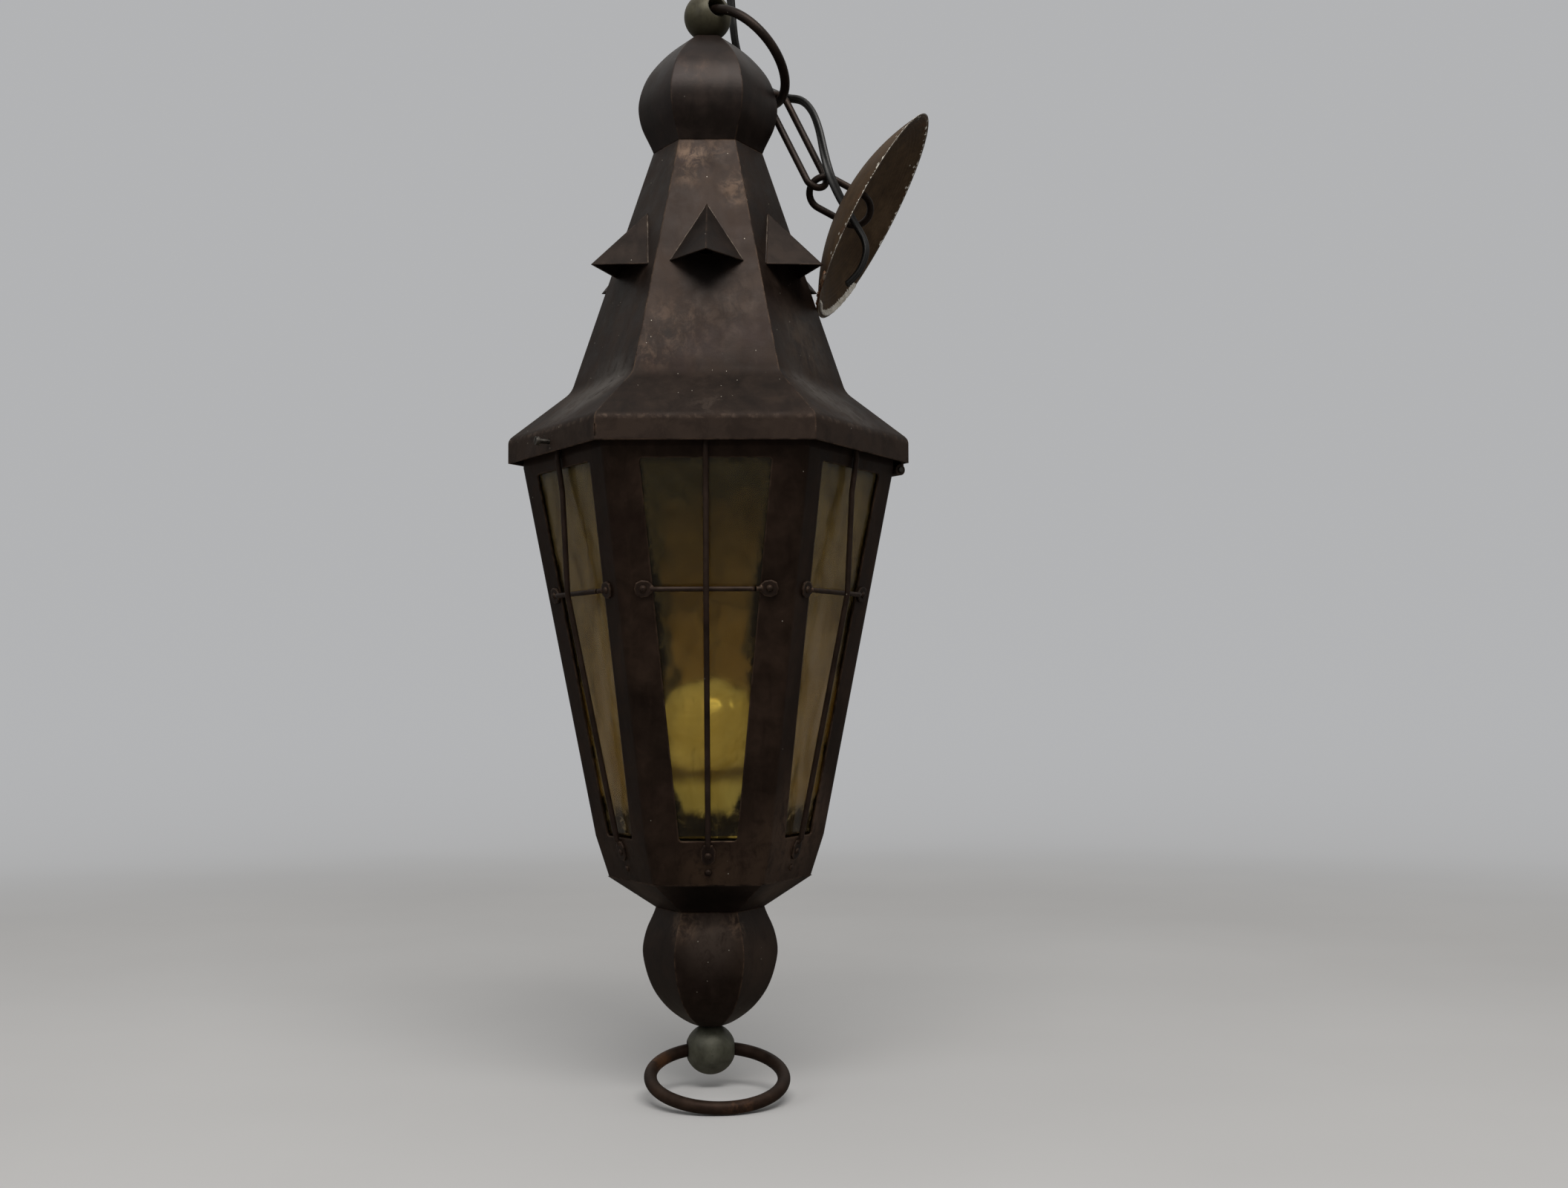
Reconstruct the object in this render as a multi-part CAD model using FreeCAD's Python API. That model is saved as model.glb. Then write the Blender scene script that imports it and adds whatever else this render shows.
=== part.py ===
import FreeCAD, Part
import os
import math
from FreeCAD import Vector as V

os.makedirs("parts", exist_ok=True)

# ------------------------------------------------------------------ driving dimensions, mm
# Six-sided hanging lantern of soldered bronze sheet. Heights below are measured from the
# bottom edge of the eave; Z_PIVOT is the suspension point, which is the part's origin.
Z_PIVOT = 300.5
C30 = math.cos(math.pi / 6)
FACES = [("front", 270), ("right_front", 330), ("right_back", 30),
         ("back", 90), ("left_back", 150), ("left_front", 210)]

# roof
T_SHEET = 1.2                     # sheet thickness
R_CHIM_TOP, Z_CHIM_TOP = 36.0, 205.5
R_KINK, Z_KINK = 89.9, 46.6
R_EAVE, H_FASCIA = 131.0, 15.6
R_EAVE_BEND = 6.5                 # rounded bend between flare and fascia
R_KINK_BEND = 15.0                # soft bend where the flare runs up into the chimney
Z_JOIN = 62.0                     # seam between flare and chimney, above that bend
HOOD_APEX_Z, HOOD_FOOT_Z = 160.0, 120.6
HOOD_HALF_W = 23.2
HOOD_TIP_R = 85.0
VENT_R = 9.0                      # vent hole under each hood
# upper orb: circumradius at heights
UPPER_ORB = [(36.0, 205.6), (39.9, 214.0), (43.4, 221.6), (45.3, 229.0), (45.9, 235.6), (45.2, 241.8),
             (43.1, 249.0), (39.6, 256.5), (34.0, 264.0), (26.6, 271.5), (20.2, 276.6), (13.6, 281.0)]
R_FINIAL, Z_FINIAL, Z_FINIAL_BASE = 15.6, 297.2, 281.1
TUBE_R, TUBE_BORE_R = 6.0, 4.6
# top ring, hooked through the finial
RING_MEAN_R, RING_WIRE_R = 37.0, 3.1
RING_AZ, RING_DROP = math.radians(28.4), math.radians(46.1)
# chain links: centre, long axis, width direction, centreline length and width
LINK_WIRE_R = 2.32
LINK1 = dict(c=V(59.02, 13.85, 218.86), a=V(0.4037, -0.2083, -0.8908), w=V(0.8349, 0.4819, 0.2657), L=76.39, W=14.91)
LINK2 = dict(c=V(87.46, 8.49, 176.45), a=V(0.8752, -0.0114, -0.4837), w=V(0.4447, -0.3748, 0.8135), L=43.45, W=21.44)
# ceiling canopy: shallow spun dish leaning on the roof
CAN_C = V(110.0, 8.6, 165.3)      # middle of the rim
CAN_N = V(0.8604, -0.1187, -0.4956)   # direction the open side faces
CAN_R, CAN_DEPTH, CAN_T, CAN_HOLE_R = 74.5, 21.9, 1.2, 19.0
# twin flex, outside the lantern
FLEX_R = 3.0
FLEX = [V(6.0, 0.0, 306.0), V(6.0, 0.0, 315.0), V(6.2, 0.3, 324.6), V(8.6, 7.5, 332.4), V(12.2, 17.9, 332.4),
        V(14.8, 25.4, 324.6), V(15.8, 26.6, 312.5), V(16.8, 27.5, 301.0), V(18.4, 29.8, 289.0), V(22.6, 33.4, 276.5), V(31.0, 35.5, 266.0),
        V(42.0, 33.0, 258.5), V(53.6, 30.2, 253.0), V(61.4, 24.7, 250.6), V(66.4, 18.7, 245.2), V(70.8, 12.4, 236.2),
        V(74.3, 8.0, 223.3), V(76.2, 4.0, 210.6), V(78.3, -0.7, 198.9), V(81.0, -2.4, 188.9), V(86.0, -1.4, 177.9),
        V(91.5, 0.5, 168.5), V(98.6, 1.0, 156.5), V(103.2, -0.6, 148.0), V(104.2, -2.4, 139.5), V(101.2, -3.6, 129.5),
        V(95.6, -4.2, 121.4), V(90.7, -4.5, 117.4)]
# cage
COLLAR_R, COLLAR_TOP = 121.4, 12.6
CAGE = [(COLLAR_R, COLLAR_TOP), (121.9, -3.0), (74.7, -241.5), (66.1, -267.8)]
CAGE_BEND_R = 6.0
WIN_TOP_Z, WIN_TOP_HW = -9.5, 39.6
WIN_BOT_Z, WIN_BOT_HW = -240.4, 17.6
PANE_T, PANE_LAP, PANE_GAP = 3.0, 6.0, 0.25
ROD_R, CROSS_R = 1.75, 1.55
CROSS_Z, CROSS_STANDOFF = -87.0, 3.4
ROD_BOW = 7.4                     # how far the upright rod bows out to pass over the cross rod
FUNNEL = [(66.1, -267.8), (35.1, -287.7)]
LOWER_ORB = [(35.1, -287.8), (37.8, -294.5), (40.4, -300.2), (42.3, -306.4), (43.4, -312.6), (43.5, -317.0),
             (43.0, -320.9), (41.8, -326.4), (39.8, -333.0), (36.5, -340.4), (31.6, -347.6), (26.8, -352.8),
             (21.5, -357.1), (16.7, -360.2), (12.0, -362.6)]
R_BALL, Z_BALL = 16.1, -378.5
PULL_MEAN_R, PULL_WIRE_R = 41.5, 4.0
PULL_AZ, PULL_DROP = math.radians(7.2), math.radians(13.9)
PULL_BACK, PULL_HOLE_R = 1.6, 5.95   # the ring's wire lies this far behind the hole's axis, so it can swing in a straight hole
# hinge along the right-back eave, lock screw in the left-front fascia
HINGE_AP, HINGE_Z, KNUCKLE_R, HINGE_PIN_R, HINGE_HALF = 109.4, -4.3, 3.6, 1.6, 62.0
SCREW_Z, SCREW_R, SCREW_OUT, SCREW_TRAVEL = 6.6, 1.5, 8.0, 5.0
# lamp: screw-base globe-type lamp in a screw holder
BULB_R, BULB_TOP_Z = 30.0, -141.0


# ------------------------------------------------------------------ helpers
OUT = {}


def put(name, shape):
    s = shape.copy()
    s.translate(V(0, 0, -Z_PIVOT))
    OUT[name] = s


def pol(az, r, z, t=0.0):
    """A point at distance r along azimuth az, t sideways along the face, height z."""
    a = math.radians(az)
    return V(r * math.cos(a) - t * math.sin(a), r * math.sin(a) + t * math.cos(a), z)


def hexpts(R, z):
    return [V(R * math.cos(math.radians(60 * k)), R * math.sin(math.radians(60 * k)), z) for k in range(6)]


def face(pts):
    return Part.Face(Part.makePolygon(list(pts) + [pts[0]]))


def solid_of(faces):
    s = Part.Solid(Part.Shell(faces))
    if s.Volume < 0:
        s.reverse()
    return s


def hexsolid(levels):
    """Flat-faced six-sided solid through (circumradius, height) levels."""
    rings = [hexpts(R, z) for R, z in levels]
    fs = [face(rings[0]), face(rings[-1])]
    for a, b in zip(rings, rings[1:]):
        for k in range(6):
            m = (k + 1) % 6
            fs.append(face([a[k], a[m], b[m], b[k]]))
    return solid_of(fs)


def inset(levels, t):
    """The same profile moved inwards by a sheet thickness, open ends kept at their heights."""
    p = [(R * C30, z) for R, z in levels]
    lines = []
    for (a0, z0), (a1, z1) in zip(p, p[1:]):
        L = math.hypot(a1 - a0, z1 - z0)
        dx, dz = (a1 - a0) / L, (z1 - z0) / L
        nx, nz = dz, -dx
        if nx > 0:
            nx, nz = -nx, -nz
        lines.append((a0 + nx * t, z0 + nz * t, dx, dz))
    out = []
    for i, (a, z) in enumerate(p):
        if i == 0 or i == len(p) - 1:
            l = lines[0] if i == 0 else lines[-1]
            k = (z - l[1]) / l[3]
            out.append(((l[0] + l[2] * k) / C30, z))
        else:
            l, m = lines[i - 1], lines[i]
            den = l[2] * m[3] - l[3] * m[2]
            if abs(den) < 1e-9:
                out.append((m[0] / C30, m[1]))
            else:
                k = ((m[0] - l[0]) * m[3] - (m[1] - l[1]) * m[2]) / den
                out.append(((l[0] + l[2] * k) / C30, l[1] + l[3] * k))
    return out


def round_hex(R, z, r):
    """Closed wire: a hexagon with rounded corners."""
    c = hexpts(R, z)
    edges = []
    cut = r * math.tan(math.radians(30))
    for k in range(6):
        p, q, n = c[k], c[(k + 1) % 6], c[(k + 2) % 6]
        u = (q - p).normalize()
        w = (n - q).normalize()
        edges.append(Part.makeLine(p + u * cut, q - u * cut))
        mid = q * ((R - (r / C30 - r)) / R)
        mid.z = z
        edges.append(Part.Arc(q - u * cut, mid, q + w * cut).toShape())
    return Part.Wire(edges)


def round_solid(levels, r):
    return Part.makeLoft([round_hex(R, z, r) for R, z in levels], True, True)


def prism(pts, vec):
    return face(pts).extrude(vec)


def cyl(p, d, r, h):
    return Part.makeCylinder(r, h, p, d)


def gored(profile, y=70.0):
    """Six-gored ball: three extruded outlines crossed at 60 degrees."""
    right = [V(R * C30, -y, z) for R, z in profile]
    left = [V(-R * C30, -y, z) for R, z in reversed(profile)]
    c1 = Part.BSplineCurve()
    c1.interpolate(right)
    c2 = Part.BSplineCurve()
    c2.interpolate(left)
    w = Part.Wire([c1.toShape(), Part.makeLine(right[-1], left[0]), c2.toShape(), Part.makeLine(left[-1], right[0])])
    slab = Part.Face(w).extrude(V(0, 2 * y, 0))
    s = None
    for a in (30, 90, 150):
        k = slab.copy()
        k.rotate(V(0, 0, 0), V(0, 0, 1), a)
        s = k if s is None else s.common(k)
    return s


def torus(centre, axis, R, r):
    return Part.makeTorus(R, r, centre, axis)


def waist(point, axis, wire_r, mean_r, reach, clear):
    """Hole that opens out at both ends, so a ring's wire can swing in it."""
    pts = []
    n = 12
    for i in range(n + 1):
        s = -reach + 2 * reach * i / n
        pts.append(V(wire_r + (mean_r - math.sqrt(mean_r ** 2 - s * s)) + clear, 0, s))
    c = Part.BSplineCurve()
    c.interpolate(pts)
    w = Part.Wire([c.toShape(), Part.makeLine(pts[-1], V(0, 0, reach)),
                   Part.makeLine(V(0, 0, reach), V(0, 0, -reach)), Part.makeLine(V(0, 0, -reach), pts[0])])
    s = Part.Face(w).revolve(V(0, 0, 0), V(0, 0, 1), 360)
    if s.ShapeType != "Solid":
        s = Part.Solid(s)
    if s.Volume < 0:
        s.reverse()
    s.Placement = FreeCAD.Placement(point, FreeCAD.Rotation(V(0, 0, 1), axis))
    return s


def oval(link, wire_r):
    """Welded oval chain link: a round wire swept along two straights and two half circles."""
    c, a, L, W = link["c"], V(link["a"]).normalize(), link["L"], link["W"]
    w = link["w"] - a * (link["w"] * a)
    w.normalize()
    r, s = W / 2, (L - W) / 2
    P = lambda x, y: c + a * x + w * y
    parts = []
    n = a.cross(w)
    parts.append(cyl(P(-s, r), a, wire_r, 2 * s))
    parts.append(cyl(P(-s, -r), a, wire_r, 2 * s))
    for sign in (1, -1):
        f = Part.Face(Part.Wire([Part.makeCircle(wire_r, P(sign * s, r), a)]))
        parts.append(f.revolve(P(sign * s, 0), n, -180 if sign > 0 else 180))
    out = parts[0]
    for p in parts[1:]:
        out = out.fuse(p)
    out = out.removeSplitter()
    return out.Solids[0] if len(out.Solids) == 1 else out


def tube_path(points, radius, label):
    """Round tube along straight runs joined by tangent arcs."""
    runs = [(q - p).Length for p, q in zip(points, points[1:])]
    edges, radii = [], []
    start = points[0]
    for i in range(1, len(points) - 1):
        p, q, n = points[i - 1], points[i], points[i + 1]
        u, w = (q - p).normalize(), (n - q).normalize()
        turn = u.getAngle(w)
        trim = 0.45 * min(runs[i - 1], runs[i])
        r = trim / math.tan(turn / 2)
        radii.append((i, round(r, 1), round(math.degrees(turn), 1)))
        a, b = q - u * trim, q + w * trim
        mid_dir = (w - u).normalize()
        bis = q + mid_dir * (r / math.cos(turn / 2) - r)
        edges.append(Part.LineSegment(start, a).toShape())
        edges.append(Part.Arc(a, bis, b).toShape())
        start = b
    edges.append(Part.LineSegment(start, points[-1]).toShape())
    wire = Part.Wire(edges)
    prof = Part.Wire([Part.makeCircle(radius, points[0], (points[1] - points[0]).normalize())])
    s = wire.makePipeShell([prof], True, False, 2)
    want = math.pi * radius ** 2 * wire.Length
    print(label, "length %.1f volume ratio %.4f valid %s" % (wire.Length, s.Volume / want, s.isValid()),
          "runs", [round(x, 1) for x in runs], "radii", radii)
    return s


# ------------------------------------------------------------------ roof
def chim_ap(z):
    return (R_KINK + (R_CHIM_TOP - R_KINK) * (z - Z_KINK) / (Z_CHIM_TOP - Z_KINK)) * C30


chim_lv = [(chim_ap(Z_JOIN + 0.02) / C30, Z_JOIN + 0.02), (R_CHIM_TOP, Z_CHIM_TOP)]
chim = hexsolid(chim_lv).cut(hexsolid(inset(chim_lv, T_SHEET)))


for name, az in FACES:
    d = pol(az, 1, 0)
    chim = chim.cut(cyl(pol(az, chim_ap(134) - 12, 134), d, VENT_R, 24))
put("chimney", chim)


def eased(levels, i, r, n):
    """The profile with corner i rounded to radius r in n steps."""
    p = [(R * C30, z) for R, z in levels]
    (a0, z0), (a1, z1), (a2, z2) = p[i - 1], p[i], p[i + 1]
    u = V(a0 - a1, 0, z0 - z1).normalize()
    w = V(a2 - a1, 0, z2 - z1).normalize()
    half = u.getAngle(w) / 2
    q = V(a1, 0, z1)
    centre = q + (u + w).normalize() * (r / math.sin(half))
    s0, s1 = q + u * (r / math.tan(half)) - centre, q + w * (r / math.tan(half)) - centre
    turn = s0.getAngle(s1)
    out = []
    for k in range(n + 1):
        f = k / n
        v = s0 * (math.sin((1 - f) * turn) / math.sin(turn)) + s1 * (math.sin(f * turn) / math.sin(turn))
        pt = centre + v
        out.append((pt.x / C30, pt.z))
    return levels[:i] + out + levels[i + 1:]


skirt_lv = [(R_EAVE, 0.0), (R_EAVE, H_FASCIA), (R_KINK, Z_KINK), (chim_ap(Z_JOIN) / C30, Z_JOIN)]
skirt_in_lv = inset(skirt_lv, T_SHEET)
skirt_out = hexsolid(eased(eased(skirt_lv, 2, R_KINK_BEND, 8), 1, R_EAVE_BEND, 8))
skirt_in = hexsolid(eased(eased(skirt_in_lv, 2, R_KINK_BEND + T_SHEET, 8), 1, R_EAVE_BEND - T_SHEET, 8))
skirt = skirt_out.cut(skirt_in)
# clearance hole for the lock screw
lock_n = pol(210, 1, 0)
skirt = skirt.cut(cyl(pol(210, R_EAVE * C30 - 6, SCREW_Z), lock_n, SCREW_R + 0.25, 12))
# corner joint left open for a short way beside the front
skirt = skirt.cut(prism([pol(240, 126, 2.0, -0.4), pol(240, 133, 2.0, -0.4), pol(240, 133, 2.0, 0.4), pol(240, 126, 2.0, 0.4)], V(0, 0, 7.5)))
put("eave_skirt", skirt)

for name, az in FACES:
    off = 0.06
    A = pol(az, chim_ap(HOOD_APEX_Z) + off, HOOD_APEX_Z)
    B = pol(az, chim_ap(HOOD_FOOT_Z) + off, HOOD_FOOT_Z, HOOD_HALF_W)
    C = pol(az, chim_ap(HOOD_FOOT_Z) + off, HOOD_FOOT_Z, -HOOD_HALF_W)
    T = pol(az, HOOD_TIP_R, HOOD_FOOT_Z + 0.8)
    tetra = solid_of([face([A, T, B]), face([A, C, T]), face([A, B, C]), face([T, C, B])])
    n1 = (T - A).cross(B - A).normalize()
    n2 = (C - A).cross(T - A).normalize()
    if n1.z < 0:
        n1 = n1 * -1
    if n2.z < 0:
        n2 = n2 * -1
    m = (n1 + n2).normalize()
    inner = tetra.copy()
    inner.translate(m * (-1.0 / (n1 * m)))
    hood = tetra.cut(inner)
    put("vent_hood_" + name, hood.Solids[0] if len(hood.Solids) == 1 else hood)

orb_out = gored(UPPER_ORB)
orb_in = gored([(R - 1.5, min(max(z, UPPER_ORB[0][1] + 1.2), UPPER_ORB[-1][1] - 1.2)) for R, z in UPPER_ORB[0:1]]
               + [(R - 1.5, z) for R, z in UPPER_ORB[1:-1]]
               + [(UPPER_ORB[-1][0] - 1.5, UPPER_ORB[-1][1] - 1.2)])
orb = orb_out.cut(orb_in)
orb = orb.cut(cyl(V(0, 0, 200), V(0, 0, 1), TUBE_R + 0.1, 90))
put("upper_orb", orb.Solids[0])

h_top = V(math.sin(RING_AZ), -math.cos(RING_AZ), 0)
e_top = V(math.cos(RING_AZ), math.sin(RING_AZ), 0)
piv = V(0, 0, Z_PIVOT)
fin = Part.makeSphere(R_FINIAL, V(0, 0, Z_FINIAL))
fin = fin.cut(Part.makeBox(60, 60, 40, V(-30, -30, Z_FINIAL_BASE + 0.2 - 40)))
fin = fin.cut(waist(piv, h_top, RING_WIRE_R, RING_MEAN_R, 19.0, 0.8))
fin = fin.cut(cyl(V(0, 0, Z_FINIAL_BASE - 1), V(0, 0, 1), TUBE_R + 0.05, 9.8))
fin = fin.cut(cyl(V(0, 0, Z_FINIAL_BASE + 8), V(0, 0, 1), 4.6, 8))
# way for the flex past the ring's wire to the top
fin = fin.cut(cyl(V(6.0, 0, 292), V(0, 0, 1), 3.55, 24))
fin = fin.cut(Part.makeBox(6.0, 6.8, 4.0, V(0, -3.4, 291.0)))
put("finial_ball", fin.Solids[0])
bush = cyl(V(6.0, 0, 306.0), V(0, 0, 1), 3.5, 5.2).cut(cyl(V(6.0, 0, 305), V(0, 0, 1), FLEX_R + 0.02, 12))
put("flex_bushing", bush)

put("hanger_tube", cyl(V(0, 0, 194), V(0, 0, 1), TUBE_R, 95.5).cut(cyl(V(0, 0, 190), V(0, 0, 1), TUBE_BORE_R, 110)))
cap = hexsolid([(35.0, 202.9), (34.5, 204.4)]).cut(cyl(V(0, 0, 200), V(0, 0, 1), TUBE_R + 0.1, 8))
put("chimney_cap", cap)
nut = hexsolid([(11.0, 197.0), (11.0, 202.8)]).cut(cyl(V(0, 0, 190), V(0, 0, 1), TUBE_R + 0.05, 20))
put("hanger_nut", nut)

# top ring
d_top = e_top * math.cos(RING_DROP) - V(0, 0, 1) * math.sin(RING_DROP)
put("top_ring", torus(piv + d_top * RING_MEAN_R, h_top.cross(d_top), RING_MEAN_R, RING_WIRE_R))
put("chain_link_upper", oval(LINK1, LINK_WIRE_R))
put("chain_link_lower", oval(LINK2, LINK_WIRE_R))

# ceiling canopy, spun dish with a hole for chain and flex
Rs = (CAN_R ** 2 + CAN_DEPTH ** 2) / (2 * CAN_DEPTH)
ang = math.asin(CAN_R / Rs)
zc = CAN_DEPTH - Rs
P2 = lambda R, th: V(R * math.sin(th), 0, zc + R * math.cos(th))
th0 = math.asin(CAN_HOLE_R / Rs)
outer_arc = Part.Arc(P2(Rs, th0), P2(Rs, (th0 + ang) / 2), P2(Rs, ang)).toShape()
ang_in = math.acos(-zc / (Rs - CAN_T))      # the rim is cut flat
inner_arc = Part.Arc(P2(Rs - CAN_T, ang_in), P2(Rs - CAN_T, (th0 + ang_in) / 2), P2(Rs - CAN_T, th0)).toShape()
sec = Part.Wire([outer_arc, Part.makeLine(P2(Rs, ang), P2(Rs - CAN_T, ang_in)), inner_arc,
                 Part.makeLine(P2(Rs - CAN_T, th0), P2(Rs, th0))])
dish = Part.Face(sec).revolve(V(0, 0, 0), V(0, 0, 1), 360)
dish = dish if dish.ShapeType == "Solid" else Part.Solid(dish)
if dish.Volume < 0:
    dish.reverse()
dish.Placement = FreeCAD.Placement(CAN_C, FreeCAD.Rotation(V(0, 0, 1), CAN_N * -1))
put("ceiling_canopy", dish)

put("flex", tube_path(FLEX, FLEX_R, "flex"))

# ------------------------------------------------------------------ cage
cage_in = inset(CAGE, T_SHEET)
cage_body = round_solid(CAGE, CAGE_BEND_R)
cage = cage_body.cut(round_solid(cage_in, CAGE_BEND_R - T_SHEET))


def cage_ap(z):
    for (R0, z0), (R1, z1) in zip(CAGE, CAGE[1:]):
        if z1 <= z <= z0:
            return (R0 + (R1 - R0) * (z - z0) / (z1 - z0)) * C30
    return CAGE[-1][0] * C30


slope = (CAGE[1][0] - CAGE[2][0]) * C30 / (CAGE[1][1] - CAGE[2][1])   # apothem per height
k_len = math.sqrt(1 + slope * slope)


def on_face(az, z, t=0.0, out=0.0):
    """A point on the main slanting face, out along its normal."""
    return pol(az, cage_ap(z) + out / k_len, z - out * slope / k_len, t)


def face_n(az):
    return (pol(az, 1, 0) - V(0, 0, slope)).normalize()


for name, az in FACES:
    n = face_n(az)
    r = 3.0
    pts = [on_face(az, WIN_TOP_Z, -WIN_TOP_HW, -6), on_face(az, WIN_TOP_Z, WIN_TOP_HW, -6),
           on_face(az, WIN_BOT_Z, WIN_BOT_HW, -6), on_face(az, WIN_BOT_Z, -WIN_BOT_HW, -6)]
    hole = prism(pts, n * 14)
    hole = hole.makeFillet(2.0, [e for e in hole.Edges if abs((e.Vertexes[0].Point - e.Vertexes[1].Point).normalize() * n) > 0.99])
    cage = cage.cut(hole)
cage = cage.cut(cyl(pol(210, COLLAR_R * C30 - 6, SCREW_Z), lock_n, SCREW_R + 0.6, 12))
put("cage_frame", cage.Solids[0])


def plate(az, corners, t_in, thick):
    """Flat plate on a face: corners are (z, t); it lies from t_in to t_in + thick inside the sheet."""
    n = face_n(az)
    pts = [on_face(az, z, t, -(T_SHEET + t_in)) for z, t in corners]
    return prism(pts, n * (-thick))


def win_hw(z):
    return WIN_TOP_HW + (WIN_BOT_HW - WIN_TOP_HW) * (z - WIN_TOP_Z) / (WIN_BOT_Z - WIN_TOP_Z)


rivets, clips = [], []
for name, az in FACES:
    n = face_n(az)
    zt, zb = WIN_TOP_Z + 4.5, WIN_BOT_Z + 1.5
    ht, hb = win_hw(zt) + PANE_LAP, win_hw(zb) + PANE_LAP
    put("glass_pane_" + name, plate(az, [(zt, -ht), (zt, ht), (zb, hb), (zb, -hb)], PANE_GAP, PANE_T))
    # spring clips that hold the pane against the sheet
    for z in (-52.0, -188.0):
        for s in (-1, 1):
            e = win_hw(z) + PANE_LAP
            z1, z2 = z + 4, z - 4
            t0, t1 = s * (e - 4.5), s * (e + 4.2)
            lid = plate(az, [(z1, t0), (z1, t1), (z2, t1), (z2, t0)], PANE_GAP + PANE_T + 0.1, 0.8)
            leg = plate(az, [(z1, s * (e + 3.2)), (z1, t1), (z2, t1), (z2, s * (e + 3.2))], 0.02, PANE_T + PANE_GAP + 0.2)
            c = lid.fuse(leg)
            clips.append(c.removeSplitter().Solids[0])
    # upright rod, bowed over the cross rod, flattened and riveted at its foot, tucked under the eave at the top
    N = lambda z, o, t=0.0: on_face(az, z, t, o)
    P2_, P3, P4 = N(CROSS_Z, ROD_BOW + 2.2), N(-236.0, 2.3), N(-241.0, 2.2)
    # on the hinged side the rod starts below the hinge leaf
    pts = [N(-18.8, 2.0), N(-26.0, 2.4)] if name == "right_back" else [N(1.6, 2.1), N(-3.6, 2.2), N(-24.0, 2.4)]
    pts += [P2_, P3, P4]
    rod = None
    for p, q in zip(pts, pts[1:]):
        seg = cyl(p, (q - p).normalize(), ROD_R, (q - p).Length)
        rod = seg if rod is None else rod.fuse(seg)
    for p in pts[1:-1]:
        rod = rod.fuse(Part.makeSphere(ROD_R, p))
    # flattened foot on the lower band
    s2 = (CAGE[2][0] - CAGE[3][0]) * C30 / (CAGE[2][1] - CAGE[3][1])
    k2 = math.sqrt(1 + s2 * s2)
    B2 = lambda z, t, o: pol(az, cage_ap(z) + o / k2, z - o * s2 / k2, t)
    n2 = (pol(az, 1, 0) - V(0, 0, s2)).normalize()
    foot = prism([B2(-242.5, -2.6, 0.1), B2(-242.5, 2.6, 0.1), B2(-246.0, 4.6, 0.1), B2(-252.0, 4.2, 0.1),
                  B2(-254.6, 1.6, 0.1), B2(-254.6, -1.6, 0.1), B2(-252.0, -4.2, 0.1), B2(-246.0, -4.6, 0.1)], n2 * 1.4)
    tie = cyl(P4, (B2(-244.5, 0, 0.9) - P4).normalize(), ROD_R * 0.85, (B2(-244.5, 0, 0.9) - P4).Length)
    rod = rod.fuse(Part.makeSphere(ROD_R, P4)).fuse(foot).fuse(tie)
    rod = rod.cut(cage_body).cut(cyl(B2(-249.2, 0, -3), n2, 1.3, 8))
    rod = rod.removeSplitter()
    put("upright_rod_" + name, rod.Solids[0] if len(rod.Solids) == 1 else rod)
    # cross rod with spade ends
    xo = CROSS_STANDOFF - 1.3
    tdir = pol(az, 0, 0, 1)
    up = n.cross(tdir)
    if up.z < 0:
        up = up * -1
    Q = lambda t, u, o: on_face(az, CROSS_Z, t, o) + up * u
    bar = None
    row = [(-33.5, 0.85), (-29.0, xo), (29.0, xo), (33.5, 0.85)]
    for (ta, oa), (tb, ob) in zip(row, row[1:]):
        p, q = Q(ta, 0, oa + 0.75), Q(tb, 0, ob + 0.75)
        seg = cyl(p, (q - p).normalize(), CROSS_R if oa == ob else CROSS_R * 0.92, (q - p).Length)
        bar = seg if bar is None else bar.fuse(seg)
    for t, o in row[1:3]:
        bar = bar.fuse(Part.makeSphere(CROSS_R, Q(t, 0, o + 0.75)))
    for s in (-1, 1):
        spade = prism([Q(s * 31.8, 1.7, 0.1), Q(s * 35.0, 4.6, 0.1), Q(s * 39.0, 5.2, 0.1), Q(s * 42.4, 3.6, 0.1),
                       Q(s * 43.4, 0.0, 0.1), Q(s * 42.4, -3.6, 0.1), Q(s * 39.0, -5.2, 0.1), Q(s * 35.0, -4.6, 0.1),
                       Q(s * 31.8, -1.7, 0.1)], n * 1.5)
        bar = bar.fuse(spade)
    bar = bar.cut(prism([Q(-60, -9, 0.1), Q(60, -9, 0.1), Q(60, 9, 0.1), Q(-60, 9, 0.1)], n * -6))
    for s in (-1, 1):
        bar = bar.cut(cyl(Q(s * 38.0, 0, -4), n, 1.3, 9))
    bar = bar.removeSplitter()
    put("cross_rod_" + name, bar.Solids[0] if len(bar.Solids) == 1 else bar)

    # rivets: domed heads outside, shank through the sheet
    def rivet(p, nn, proud):
        head = Part.makeSphere(2.6, p + nn * (proud - 1.25)).common(cyl(p + nn * proud, nn, 2.3, 3))
        return head.fuse(cyl(p + nn * (-T_SHEET - 0.1), nn, 1.25, T_SHEET + 0.1 + proud + 0.3)).removeSplitter().Solids[0]
    for s in (-1, 1):
        rivets.append((rivet(Q(s * 38.0, 0, 0), n, 1.62), Q(s * 38.0, 0, 0), n))
    rivets.append((rivet(B2(-249.2, 0, 0), n2, 1.52), B2(-249.2, 0, 0), n2))
    rivets.append((rivet(B2(-260.0, 0, 0), n2, 0.06), B2(-260.0, 0, 0), n2))
# holes for the rivets in the sheet
cf = OUT["cage_frame"]
for s, p, nn in rivets:
    cf = cf.cut(cyl(p + nn * -5 - V(0, 0, Z_PIVOT), nn, 1.3, 10))
OUT["cage_frame"] = cf.Solids[0]
put("rod_rivets", Part.makeCompound([r[0] for r in rivets]))
put("pane_clips", Part.makeCompound(clips))

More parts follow.
